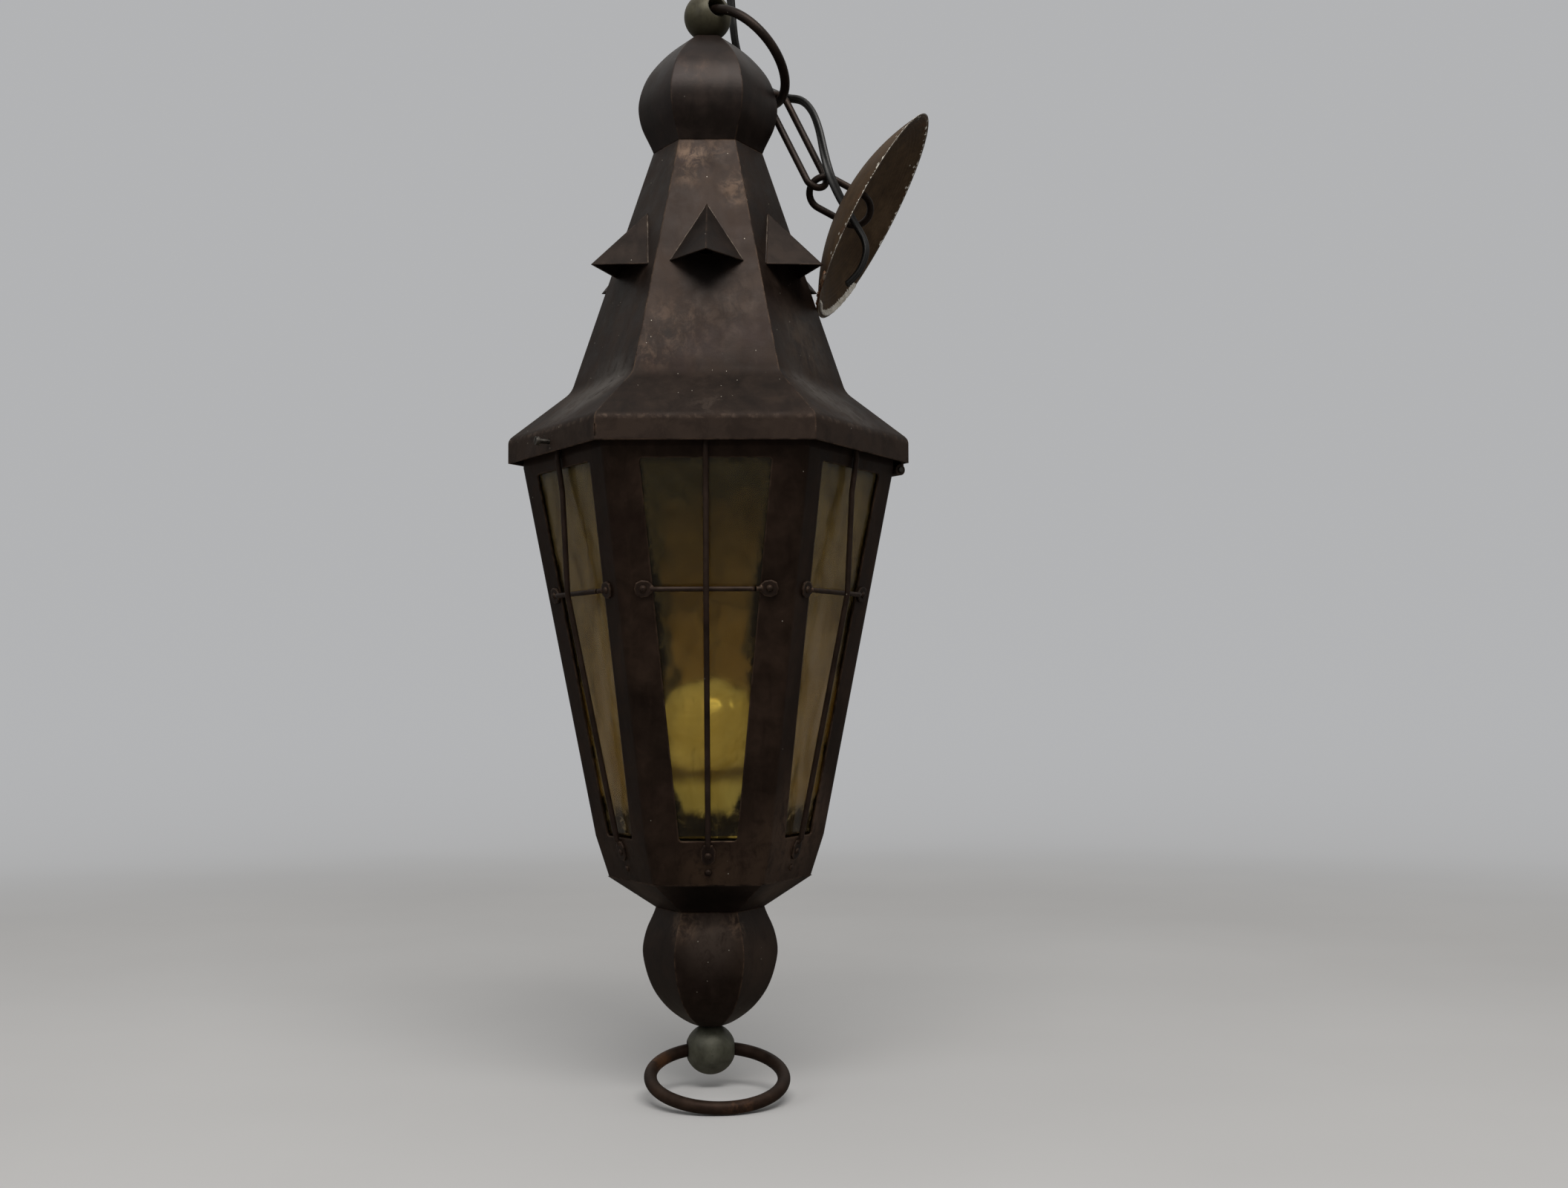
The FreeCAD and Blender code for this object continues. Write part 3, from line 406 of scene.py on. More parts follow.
M_roof = bronze("bronze_roof", dark=(0.0130, 0.0082, 0.0061), mid=(0.0256, 0.0163, 0.0122), light=(0.0475, 0.0312, 0.0233), speck_at=0.34, patches=roof_patches, wear=0.7, dust=0.06, low=(mm(0, 0, 60).z, mm(0, 0, 44).z, mm(0, 0, 17).z, mm(0, 0, 12).z, 0.06, 0.95), seam=mm(0, 0, 62.01).z, lines=[
    (mm(0, 0, 14.2).z, 0.0022, (0.095, 0.066, 0.050), 0.75)])
M_fit = bronze("bronze_fittings", wear=0.6, shift=2.0)
M_hood = bronze("bronze_hood", wear=0.3, shift=4.0, dark=(0.0110, 0.0072, 0.0056), mid=(0.0215, 0.0142, 0.0110), light=(0.040, 0.0270, 0.0208), dust=0.06)
# the orb's one patch, light tan on its front gore where the highlight band falls, is a painted highlight
M_orb = bronze("bronze_orb", wear=0.45, shift=6.0, metallic=0.5, rough=(0.38, 0.50), dust=0.03, spec=0.44, patches=[
    (mm(-9, -40, 252), 0.020, (0.075, 0.046, 0.033), 0.5, 0.46, 0.68)], dark=(0.0105, 0.0066, 0.0053), mid=(0.0205, 0.0132, 0.0105), light=(0.039, 0.0255, 0.0200))
# the lighter patches round the lower cage, strongest on the right, are painted light
M_cage = bronze("bronze_cage", wear=0.45, shift=8.0, dark=(0.0130, 0.0074, 0.0050), mid=(0.0250, 0.0148, 0.0100), light=(0.044, 0.0262, 0.0180), dust=0.1, spec=0.12, metallic=0.38, patches=[
    (mm(0, -60, -258), 0.03, (0.058, 0.035, 0.022), 0.9, 0.30, 0.55), (mm(34, -52, -255), 0.04, (0.066, 0.042, 0.028), 0.6, 0.32, 0.58), (mm(60, -35, -232), 0.055, (0.098, 0.061, 0.041), 0.85, 0.28, 0.56), (mm(-60, -35, -245), 0.045, (0.060, 0.040, 0.028), 0.5, 0.32, 0.58)])
M_rod = bronze("bronze_rods", wear=0.5, shift=10.0, dark=(0.0150, 0.0092, 0.0068), mid=(0.029, 0.0180, 0.0132), light=(0.050, 0.031, 0.023), streak=0.15, spec=0.2)
# painted sheen: the three broad pale patches on the lower orb's upper front and right
M_low = bronze("bronze_lower", wear=0.8, shift=12.0, dark=(0.0165, 0.0106, 0.0080), mid=(0.0305, 0.0198, 0.0150), light=(0.052, 0.0340, 0.0258), metallic=0.55, rough=(0.30, 0.46), spec=0.12, dust=0.05,
               patches=[(mm(2, -43, -308), 0.030, (0.068, 0.050, 0.041), 0.75, 0.20, 0.55), (mm(36, -22, -318), 0.036, (0.068, 0.044, 0.031), 0.7, 0.24, 0.56), (mm(0, -38, -299), 0.022, (0.090, 0.066, 0.052), 0.6, 0.24, 0.56),
                        (mm(-17, -33, -294), 0.017, GOLD, 0.8, 0.42, 0.6), (mm(17, -33, -294), 0.014, GOLD, 0.7, 0.45, 0.62), (mm(0, -34, -291), 0.012, TAN, 0.5, 0.48, 0.64)])
# painted shade: the near-black patch on the funnel's front; painted light: the lighter brown patches on its left and
# right
M_funnel = bronze("bronze_funnel", wear=0.5, shift=13.0, dark=(0.0165, 0.0106, 0.0080), mid=(0.0305, 0.0198, 0.0150), light=(0.052, 0.0340, 0.0258), metallic=0.35, rough=(0.42, 0.58), spec=0.12, dust=0.05,
                  patches=[(mm(0, -50, -280), 0.046, (0.0040, 0.0026, 0.0018), 0.80, 0.05, 0.25), (mm(46, -27, -277), 0.030, (0.082, 0.053, 0.037), 0.75, 0.2, 0.5), (mm(-46, -27, -277), 0.028, (0.070, 0.046, 0.033), 0.6, 0.2, 0.5)])
M_ring = bronze("ring_metal", wear=0.3, shift=14.0, dark=(0.0105, 0.0070, 0.0055), mid=(0.021, 0.0138, 0.0104), light=(0.042, 0.0265, 0.0190), streak=0.1, spec=0.3, specks=0.5, bump=0.3,
                metallic=0.5, rough=(0.30, 0.52), dust=0.05)
M_pull = bronze("pull_ring_metal", wear=0.3, shift=15.0, dark=(0.018, 0.0108, 0.0076), mid=(0.0325, 0.0196, 0.0138), light=(0.056, 0.0335, 0.0232), streak=0.05, specks=0.9, bump=0.35, spec=0.10,
                rough=(0.4, 0.62), patches=[(mm(-36, -20, -388), 0.020, (0.150, 0.066, 0.028), 0.85, 0.36, 0.56), (mm(20, -78, -397), 0.02, (0.11, 0.055, 0.03), 0.6, 0.44, 0.62)])


def ball_material(name, shift, base):
    g = Mat(name)
    a = g.noise(90, 6, 0.62, 0.4, g.at(loc=(shift, 0, 0)))
    b = g.noise(600, 4, 0.6)
    c0, c1, c2 = base
    col = g.ramp(a, [(0.32, c0), (0.70, c2), (0.5, c1)])
    col = g.mix(g.mr(b, 0.58, 0.74), col, c0)
    e, bn = g.edge(0.0012)
    col = g.mix(g.math("MULTIPLY", e, 0.7), col, (0.035, 0.03, 0.024))
    nz = g.normal_z()
    # painted shade: darker where the surface faces down
    col = g.mix(g.math("MULTIPLY", g.mr(nz, 0.0, -0.8), 0.35), col, c0)
    g.set(Base_Color=col, Metallic=0.25, Roughness=g.mr(a, 0.3, 0.7, 0.40, 0.56, "LINEAR"))
    g.set(Normal=g.bump(g.math("ADD", a, g.math("MULTIPLY", b, 0.5)), 0.25, 0.0004, bn))
    return g.m


M_ball = ball_material("weathered_ball", 1.0, ((0.055, 0.053, 0.036), (0.092, 0.091, 0.065), (0.136, 0.135, 0.101)))
M_finial = ball_material("weathered_finial", 5.0, ((0.045, 0.039, 0.0215), (0.075, 0.067, 0.039), (0.114, 0.104, 0.066)))


def steel_material(name, c0=(0.16, 0.15, 0.14), c1=(0.40, 0.38, 0.35), rust=0.4, rub=(0.62, 0.60, 0.56)):
    g = Mat(name)
    a = g.noise(160, 5, 0.6, 0.2)
    br = g.noise(1.0, 4, 0.6, 0.0, g.at(scale=(900, 900, 60)))
    col = g.ramp(a, [(0.32, c0), (0.68, c1)])
    col = g.mix(g.math("MULTIPLY", g.mr(g.noise(70, 5, 0.65), 0.52, 0.68), rust), col, (0.13, 0.065, 0.032))
    e, bn = g.edge(0.0006)
    col = g.mix(g.math("MULTIPLY", e, 0.5), col, rub)
    g.set(Base_Color=col, Metallic=0.85, Roughness=g.mr(a, 0.3, 0.7, 0.38, 0.60, "LINEAR"))
    g.set(Normal=g.bump(br, 0.15, 0.0002, bn))
    return g.m


M_steel = steel_material("dull_steel")
M_screw = steel_material("screw_steel", (0.045, 0.040, 0.035), (0.15, 0.138, 0.122), 0.35, (0.20, 0.185, 0.165))


def plastic_material(name, base, var, rough, coat=0.0, glow=None, painted_highlights=()):
    g = Mat(name)
    a = g.noise(55, 5, 0.6)
    f = g.noise(900, 3, 0.6)
    col = g.ramp(a, [(0.3, base), (0.7, var)])
    g.set(Base_Color=col, Metallic=0.0, Roughness=g.mr(f, 0.3, 0.7, rough - 0.05, rough + 0.08, "LINEAR"))
    g.b.inputs["Coat Weight"].default_value = coat
    if glow:
        # painted light: emission standing in for light that reaches the lamp through the panes, fading towards its
        # lower edge; the spots added to it are painted highlights
        z0, z1, strength = glow
        painted_glow = g.mr(g.axis(2), z0, z1, 0.0, strength)
        for p, r, k in painted_highlights:
            painted_glow = g.math("ADD", painted_glow, g.math("MULTIPLY", g.mr(g.dist(p), r, r * 0.3, 0.0, k), g.mr(g.noise(330, 3, 0.6), 0.42, 0.58)))
        g.set(Emission_Color=(0.98, 0.955, 0.46, 1.0), Emission_Strength=painted_glow)
    g.set(Normal=g.bump(f, 0.06, 0.0002))
    return g.m


# painted light: the lamp's glass and body glow, and the glass carries two painted highlights
M_opal = plastic_material("opal_lamp", (0.90, 0.89, 0.83), (0.84, 0.83, 0.76), 0.20, coat=1.0, glow=(mm(0, 0, -207).z, mm(0, 0, -188).z, 0.150), painted_highlights=((mm(2.4, -26.9, -158.0), 0.0055, 0.8), (mm(17.0, -21.0, -156.5), 0.0045, 0.6)))
M_lampbody = plastic_material("lamp_body", (0.76, 0.75, 0.68), (0.66, 0.65, 0.58), 0.34, glow=(mm(0, 0, -202).z, mm(0, 0, -210).z, 0.165))
M_holder = plastic_material("holder_plastic", (0.020, 0.017, 0.015), (0.040, 0.034, 0.030), 0.40)


def flex_material():
    g = Mat("flex_sheath")
    a = g.noise(120, 5, 0.6)
    f = g.noise(1100, 3, 0.6)
    col = g.ramp(a, [(0.3, (0.0085, 0.0085, 0.0085)), (0.7, (0.020, 0.020, 0.0195))])
    col = g.mix(g.math("MULTIPLY", g.mr(f, 0.6, 0.75), 0.25), col, (0.07, 0.066, 0.060))
    g.set(Base_Color=col, Roughness=g.mr(a, 0.3, 0.7, 0.34, 0.5, "LINEAR"))
    g.set(Normal=g.bump(f, 0.1, 0.0002))
    return g.m


M_flex = flex_material()


def canopy_material():
    g = Mat("canopy_metal")
    big = g.noise(20, 5, 0.62, 0.6)
    mott = g.noise(110, 6, 0.64, 0.4)
    tone = g.math("ADD", g.math("MULTIPLY", big, 0.5), g.math("MULTIPLY", mott, 0.5))
    col = g.ramp(tone, [(0.33, (0.038, 0.0225, 0.0110)), (0.68, (0.122, 0.0780, 0.0425)), (0.5, (0.072, 0.0445, 0.0238))])
    # turning marks round the dish
    rad = g.dist(mm(*CAN_C))
    w = g.node("ShaderNodeCombineXYZ")
    g.put(w.inputs[0], g.math("MULTIPLY", rad, 900.0))
    n = g.node("ShaderNodeTexNoise")
    g.put(n.inputs["Vector"], w.outputs[0])
    n.inputs["Scale"].default_value = 1.0
    col = g.mix(g.math("MULTIPLY", g.mr(n.outputs[0], 0.45, 0.7), 0.22), col, (0.15, 0.105, 0.08))
    # paint flecks near the rim
    v = g.vor(240)
    s = g.node("ShaderNodeSeparateColor")
    g.put(s.inputs[0], v.outputs["Color"])
    near = g.mr(rad, 0.065, 0.0742)
    fl = g.math("MULTIPLY", g.mr(v.outputs["Distance"], 0.30, 0.18), g.math("GREATER_THAN", g.math("ADD", s.outputs[0], g.math("MULTIPLY", near, 0.33)), 1.0))
    col = g.mix(fl, col, (0.55, 0.52, 0.46))
    rust = g.math("MULTIPLY", g.mr(g.noise(60, 5, 0.66, 0.5), 0.54, 0.68), near)
    col = g.mix(g.math("MULTIPLY", rust, 0.7), col, (0.135, 0.060, 0.034))
    e, bn = g.edge(0.0010)
    col = g.mix(g.math("MULTIPLY", g.math("MULTIPLY", e, g.mr(mott, 0.38, 0.55)), 0.8), col, (0.45, 0.41, 0.36))
    g.set(Base_Color=col, Metallic=0.1, Roughness=g.mr(mott, 0.3, 0.7, 0.46, 0.66, "LINEAR"))
    g.b.inputs["Specular IOR Level"].default_value = 0.1
    g.set(Normal=g.bump(g.math("ADD", mott, g.math("MULTIPLY", n.outputs[0], 0.4)), 0.2, 0.0006, bn))
    return g.m


CAN_C, CAN_N, CAN_R, CAN_DEPTH, CAN_T = (110.0, 8.6, 165.3), Vector((0.8604, -0.1187, -0.4956)).normalized(), 74.5, 21.9, 1.2
M_canopy = canopy_material()


def glass_material(name, dust):
    g = Mat(name)
    big = g.noise(26, 5, 0.6, 0.8)
    mott = g.noise(120, 6, 0.65, 0.6)
    run = g.noise(1.0, 5, 0.62, 0.6, g.at(scale=(150, 150, 16)))
    col = g.ramp(big, [(0.32, (0.58, 0.420, 0.128)), (0.68, (0.79, 0.610, 0.235))])
    # pale film over the pane, heavier lower down: dust, and a painted reflection of pale surroundings
    dust_and_reflection = g.math("MULTIPLY", g.mr(g.noise(34, 5, 0.62, 0.8, g.at(scale=(1, 1, 0.4))), 0.34, 0.68, 0.25, 1.0), dust)
    dust_and_reflection = g.math("MULTIPLY", dust_and_reflection, g.mr(g.axis(2), -0.33, -0.50, 0.78, 1.22, "LINEAR"))
    rim = g.node("ShaderNodeAttribute", attribute_name="rim")
    dust_and_reflection = g.math("MULTIPLY", dust_and_reflection, g.mr(rim.outputs["Fac"], 0.2, 0.8, 1.0, 0.05))
    col = g.mix(g.mr(dust_and_reflection, 0.0, 0.3, 0.0, 0.8), col, (0.58, 0.455, 0.325))
    # grime: runs, and thicker towards the border, which the pane carries as a colour attribute
    at = g.node("ShaderNodeAttribute", attribute_name="border")
    film = g.math("ADD", 0.004, g.math("MULTIPLY", g.mr(run, 0.54, 0.78), 0.10))
    film = g.math("ADD", film, g.math("MULTIPLY", g.mr(mott, 0.60, 0.76), 0.05))
    edge = g.math("MULTIPLY", at.outputs["Fac"], g.mr(mott, 0.34, 0.56))
    film = g.math("ADD", film, g.math("MULTIPLY", edge, 0.42), clamp=True)
    col = g.mix(g.mr(film, 0.0, 0.24, 0.0, 0.93), col, (0.055, 0.033, 0.010))
    film = g.math("ADD", g.math("MULTIPLY", film, 0.22), dust_and_reflection, clamp=True)
    g.set(Base_Color=col, Metallic=0.0)
    g.set(Transmission_Weight=g.math("SUBTRACT", 1.0, film))
    g.set(Roughness=g.math("ADD", 0.168, g.math("MULTIPLY", film, 0.12)))
    g.b.inputs["IOR"].default_value = 1.5
    g.b.inputs["Specular IOR Level"].default_value = 0.22
    g.set(Normal=g.bump(mott, 0.03, 0.0008))
    return g.m


# the side panes carry more of the pale film, which is dust and a painted reflection; the right front pane carries the
# most, as painted light
M_glass = glass_material("amber_glass", 0.0)
M_glass_dust_and_reflection = glass_material("amber_glass_dust_and_reflection", 0.14)
M_glass_more_dust_and_reflection = glass_material("amber_glass_more_dust_and_reflection", 0.19)

# ------------------------------------------------------------------ glass panes: hammered on both faces
FACES = [("front", 270), ("right_front", 330), ("right_back", 30), ("back", 90), ("left_back", 150), ("left_front", 210)]


def pane(name, az, seed):
    src = NODES["glass_pane_" + name]
    d = Vector((math.cos(math.radians(az)), math.sin(math.radians(az)), 0))
    t = Vector((-d.y, d.x, 0))
    pts = []
    for v in src.data.vertices:
        p = src.matrix_world @ v.co
        if all((p - q).length > 1e-5 for q in pts):
            pts.append(p)
    zs = sorted(p.z for p in pts)
    mid = sum(zs) / len(zs)
    quad = {}
    for p in pts:
        quad.setdefault((p.z > mid, p.dot(t) > 0), []).append(p)
    outer = {k: max(v, key=lambda p: p.dot(d) - p.z * 0.17) for k, v in quad.items()}
    inner = {k: min(v, key=lambda p: p.dot(d) - p.z * 0.17) for k, v in quad.items()}
    nrm = (outer[(True, False)] - outer[(False, False)]).cross(t).normalized()
    if nrm.dot(d) < 0:
        nrm = -nrm
    nu, nv = 44, 118
    bm = bmesh.new()
    lay = bm.loops.layers.float_color.new("border")
    lay2 = bm.loops.layers.float_color.new("rim")
    grids, info, rimk = [], {}, {}

    def wave(p, k):
        q = p * 1000.0
        a = mnoise.noise(Vector((q.x / 9, q.y / 9, q.z / 11)) + Vector((seed, k, 0)))
        b = mnoise.noise(Vector((q.x / 4.6, q.y / 4.6, q.z / 5.2)) + Vector((seed + 9, k, 3)))
        c = mnoise.noise(Vector((q.x / 2.2, q.y / 2.2, q.z / 2.4)) + Vector((seed + 5, k, 7)))
        return 0.60 + 0.36 * a + 0.10 * b + 0.012 * c
    for side, (cs, sg) in enumerate(((outer, -1), (inner, 1))):
        grid = []
        for j in range(nv + 1):
            fv = j / nv
            L = cs[(False, False)].lerp(cs[(True, False)], fv)
            R = cs[(False, True)].lerp(cs[(True, True)], fv)
            row = []
            for i in range(nu + 1):
                fu = i / nu
                p = L.lerp(R, fu)
                w_ = (R - L).length
                e = min(fu, 1 - fu) * w_
                ez = min(fv, 1 - fv) * (cs[(True, True)] - cs[(False, True)]).length
                k = 0.0 if (i in (0, nu) or j in (0, nv)) else 1.0
                v = bm.verts.new(p + nrm * (sg * 0.001 * wave(p, side) * k))
                low = fv * (cs[(True, True)] - cs[(False, True)]).length
                side_k = 0.8 if fv < 0.10 else 0.12 if fv < 0.38 else 0.12 + 0.78 * min((fv - 0.38) / 0.07, 1.0) if fv < 0.66 else 0.90 - 0.45 * min((fv - 0.66) / 0.12, 1.0)
                info[v] = max(0.0, side_k * (1.0 - min(max(e - 0.0055, 0) / 0.0065, 1.0)), 0.35 * (1.0 - min(max(ez - 0.006, 0) / 0.006, 1.0)), 0.9 * (1.0 - min(max(low - 0.009, 0) / 0.011, 1.0)))
                rimk[v] = 1.0 - min(max(e - 0.0055 - 0.0016 * mnoise.noise(Vector((fv * 46, seed, i > nu / 2))), 0) / 0.0028, 1.0)
                row.append(v)
            grid.append(row)
        grids.append(grid)
    for side, grid in enumerate(grids):
        for j in range(nv):
            for i in range(nu):
                q = [grid[j][i], grid[j][i + 1], grid[j + 1][i + 1], grid[j + 1][i]]
                if side:
                    q.reverse()
                f = bm.faces.new(q)
                f.smooth = True
    A, B = grids
    rim = [(j, 0) for j in range(nv)] + [(nv, i) for i in range(nu)] + [(j, nu) for j in range(nv, 0, -1)] + [(0, i) for i in range(nu, 0, -1)]
    for (j0, i0), (j1, i1) in zip(rim, rim[1:] + rim[:1]):
        bm.faces.new((A[j0][i0], A[j1][i1], B[j1][i1], B[j0][i0]))
    bmesh.ops.recalc_face_normals(bm, faces=bm.faces)
    for f in bm.faces:
        for l in f.loops:
            x = info[l.vert]
            l[lay] = (x, x, x, 1.0)
            y = rimk[l.vert]
            l[lay2] = (y, y, y, 1.0)
    me = bpy.data.meshes.new("pane_" + name)
    bm.to_mesh(me)
    bm.free()
    o = new_object("pane_" + name, me)
    dress(o, M_glass if name in ("front", "back") else M_glass_more_dust_and_reflection if name == "right_front" else M_glass_dust_and_reflection)
    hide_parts("glass_pane_" + name)
    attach(o, "cage")
    return o


for k, (name, az) in enumerate(FACES):
    pane(name, az, 13.7 * k + 2.0)

# ------------------------------------------------------------------ flex: its sheath finish, and its placement kept in the mesh
dress(flex, M_flex)
dress(flex_tail, M_flex)
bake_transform(flex)
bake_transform(flex_tail)

# ------------------------------------------------------------------ solder beads along the vent hoods
A0, A1, ZK, ZT = 89.9 * C30, 36.0 * C30, 46.6, 205.5


def chim_ap(z):
    return A0 + (A1 - A0) * (z - ZK) / (ZT - ZK)


def solder_material():
    g = Mat("solder")
    a = g.noise(210, 6, 0.65, 0.4)
    b = g.noise(45, 4, 0.6)
    col = g.ramp(a, [(0.30, (0.060, 0.044, 0.036)), (0.70, (0.20, 0.158, 0.122)), (0.52, (0.105, 0.080, 0.062))])
    col = g.mix(g.mr(b, 0.45, 0.62), col, (0.050, 0.036, 0.031))
    g.set(Base_Color=col, Metallic=0.5, Roughness=g.mr(a, 0.3, 0.7, 0.4, 0.6, "LINEAR"))
    g.set(Normal=g.bump(a, 0.4, 0.0004))
    return g.m


M_solder = solder_material()
circ = lambda n, r: [(r * math.cos(2 * math.pi * k / n), r * math.sin(2 * math.pi * k / n)) for k in range(n)]
for k, (name, az) in enumerate(FACES):
    bm = bmesh.new()
    d = Vector((math.cos(math.radians(az)), math.sin(math.radians(az)), 0))
    for s in (-1, 1):
        P0 = pol(az, chim_ap(159.0) + 0.10, 159.0, s * 0.4)
        P1 = pol(az, chim_ap(120.9) + 0.10, 120.9, s * 23.0)
        n = 46
        path = []
        for i in range(n + 1):
            p = P0.lerp(P1, i / n)
            wob = mnoise.noise(p * 260 + Vector((k * 5, s, 0))) * 0.00028
            path.append(p + Vector((0, 0, wob)))
        L = (P1 - P0).length
        sweep(bm, path, circ(8, 0.00062), d,
              size=lambda q, k=k, s=s, L=L: (0.72 + 0.55 * mnoise.noise(Vector((q * 330, k * 3.0 + s, 0.5)))) * min(1.0, 0.25 + q / 0.003, 0.25 + (L - q) / 0.003))
    me = bpy.data.meshes.new("hood_solder_" + name)
    bm.to_mesh(me)
    bm.free()
    o = new_object("hood_solder_" + name, me)
    dress(o, M_solder)
    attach(o, "roof")


# ------------------------------------------------------------------ paint and plaster left on the ceiling cup's rim
def crust_material(name, c0, c1, c2, stain, amount):
    g = Mat(name)
    a = g.noise(170, 6, 0.66, 0.4)
    b = g.noise(800, 4, 0.6)
    col = g.ramp(a, [(0.30, c0), (0.66, c2), (0.48, c1)])
    col = g.mix(g.math("MULTIPLY", g.mr(g.noise(90, 4, 0.6), 0.58, 0.72), amount), col, stain)
    g.set(Base_Color=col, Roughness=g.mr(b, 0.3, 0.7, 0.75, 0.95, "LINEAR"))
    g.set(Normal=g.bump(g.math("ADD", a, g.math("MULTIPLY", b, 0.5)), 0.5, 0.0006))
    return g.m


M_crust = crust_material("plaster_crust", (0.50, 0.45, 0.37), (0.70, 0.66, 0.58), (0.82, 0.80, 0.75), (0.30, 0.21, 0.14), 0.5)
M_rust = crust_material("rust_crust", (0.060, 0.026, 0.013), (0.20, 0.088, 0.038), (0.34, 0.21, 0.12), (0.66, 0.60, 0.50), 0.9)
cu_ = CAN_N.cross(Vector((0, 0, 1))).normalized()
cw_ = CAN_N.cross(cu_)
RS = (CAN_R ** 2 + CAN_DEPTH ** 2) / (2 * CAN_DEPTH)
ZC = CAN_DEPTH - RS


def dish(r, ang, h, side):
    """Point on the cup: r from its middle, h millimetres off the metal, on its hollow (0) or domed (1) side."""
    R = RS + h if side else RS - CAN_T - h
    depth = ZC + math.sqrt(max(R * R - r * r, 0))
    q = Vector(CAN_C) + (cu_ * math.cos(ang) + cw_ * math.sin(ang)) * r - CAN_N * depth
    return mm(*q)


def crust(name, a0, a1, width, thick, seed, cover, mat, side=0, lump=0.9, freq=1.0):
    """Strip of old paint or plaster along the rim, broken where cover is low."""
    n, mcols = int(abs(a1 - a0) * 3.0), 7
    r_out = 74.35 if side else 72.1
    bm = bmesh.new()
    rows = []
    for i in range(n + 1):
        an = math.radians(a0 + (a1 - a0) * i / n)
        base = mnoise.noise(Vector((an * 16 * freq, seed, 0))) * 0.6 + mnoise.noise(Vector((an * 47 * freq, seed, 5))) * 0.4
        taper = min(1.0, i / 5.0, (n - i) / 5.0)
        k = max(0.0, min(1.0, (base + cover) * 2.2)) * taper
        w_ = width * k * (0.8 + 0.45 * mnoise.noise(Vector((an * 52 * freq, seed, 9))))
        row_lo, row_hi = [], []
        for j in range(mcols + 1):
            f = j / mcols
            r = r_out - f * w_
            bulge = math.sin(math.pi * (0.18 + 0.82 * f)) if f < 1 else 0.0
            h = thick * k * bulge * ((1 - lump * 0.5) + lump * abs(mnoise.noise(Vector((an * 75, f * 3 + seed, 2)))))
            row_hi.append(bm.verts.new(dish(r, an, 0.03 + h, side)))
            row_lo.append(bm.verts.new(dish(r, an, 0.02, side)))
        rows.append((row_hi, row_lo, k))
    for (ah, al, ka), (bh, bl, kb) in zip(rows, rows[1:]):
        if ka < 0.03 and kb < 0.03:
            continue
        for j in range(mcols):
            for q in ((ah[j], bh[j], bh[j + 1], ah[j + 1]), (al[j + 1], bl[j + 1], bl[j], al[j])):
                bm.faces.new(q).smooth = True
        for j in (0, mcols):
            bm.faces.new((ah[j], al[j], bl[j], bh[j]))
    bmesh.ops.remove_doubles(bm, verts=bm.verts, dist=2e-6)
    bmesh.ops.delete(bm, geom=[v for v in bm.verts if not v.link_faces], context="VERTS")
    # close the ends of each run
    ends = [e for e in bm.edges if e.is_boundary]
    bmesh.ops.holes_fill(bm, edges=ends, sides=0)
    bmesh.ops.recalc_face_normals(bm, faces=bm.faces)
    me = bpy.data.meshes.new(name)
    bm.to_mesh(me)
    bm.free()
    o = new_object(name, me)
    dress(o, mat)
    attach(o, "canopy")
    return o


crust("plaster_lower", 74, 152, 3.4, 1.8, 3.0, 0.75, M_crust, lump=0.5)
crust("paint_near", 276, 402, 1.9, 0.40, 11.0, 0.08, M_crust, side=1, freq=1.3)
crust("paint_far", 178, 268, 1.5, 0.4, 23.0, 0.03, M_crust)
crust("rust_near", 408, 462, 5.0, 1.4, 31.0, 0.50, M_rust, side=1)

# ------------------------------------------------------------------ finishes on the CAD nodes
for name, o in NODES.items():
    if o.hide_render:
        continue
    if name in ("chimney", "eave_skirt"):
        mat = M_roof
    elif name.startswith("vent_hood"):
        mat = M_hood
    elif name == "upper_orb":
        mat = M_orb
    elif name == "lower_orb":
        mat = M_low
    elif name == "bottom_funnel":
        mat = M_funnel
    elif name in ("chimney_cap", "hinge_leaf_roof"):
        mat = M_fit
    elif name in ("cage_frame", "hinge_leaf_cage"):
        mat = M_cage
    elif name.startswith(("upright_rod", "cross_rod")) or name == "rod_rivets":
        mat = M_rod
    elif name in ("top_ring", "chain_link_upper", "chain_link_lower"):
        mat = M_ring
    elif name == "pull_ring":
        mat = M_pull
    elif name == "bottom_ball":
        mat = M_ball
    elif name == "finial_ball":
        mat = M_finial
    elif name == "ceiling_canopy":
        mat = M_canopy
    elif name == "lamp_globe":
        mat = M_opal
    elif name == "lamp_housing":
        mat = M_lampbody
    elif name == "lampholder":
        mat = M_holder
    elif name == "flex_bushing":
        mat = M_flex
    elif name in ("lock_screw", "hinge_pin"):
        mat = M_screw
    else:
        mat = M_steel
    dress(o, mat)

# ------------------------------------------------------------------ floor, backdrop and light
def stage_material(name, c0, c1):
    g = Mat(name)
    a = g.noise(2.2, 4, 0.5)
    col = g.ramp(a, [(0.3, c0), (0.7, c1)])
    g.set(Base_Color=col, Roughness=0.75)
    g.set(Normal=g.bump(g.noise(60, 3, 0.5), 0.02, 0.001))
    return g.m


floor_z = cad_lo.z - 0.0003


def spin(name, prof, mat, ns=96):
    bm = bmesh.new()
    rings = []
    for r, z in prof:
        if r == 0:
            rings.append([bm.verts.new((0, 0, z))])
        else:
            rings.append([bm.verts.new((r * math.cos(2 * math.pi * k / ns), r * math.sin(2 * math.pi * k / ns), z)) for k in range(ns)])
    for A, B in zip(rings, rings[1:]):
        for k in range(ns):
            q = (A[0], B[k], B[(k + 1) % ns]) if len(A) == 1 else (A[k], B[k], B[(k + 1) % ns], A[(k + 1) % ns])
            bm.faces.new(q).smooth = True
    me = bpy.data.meshes.new(name)
    bm.to_mesh(me)
    bm.free()
    o = new_object(name, me)
    dress(o, mat)
    return o


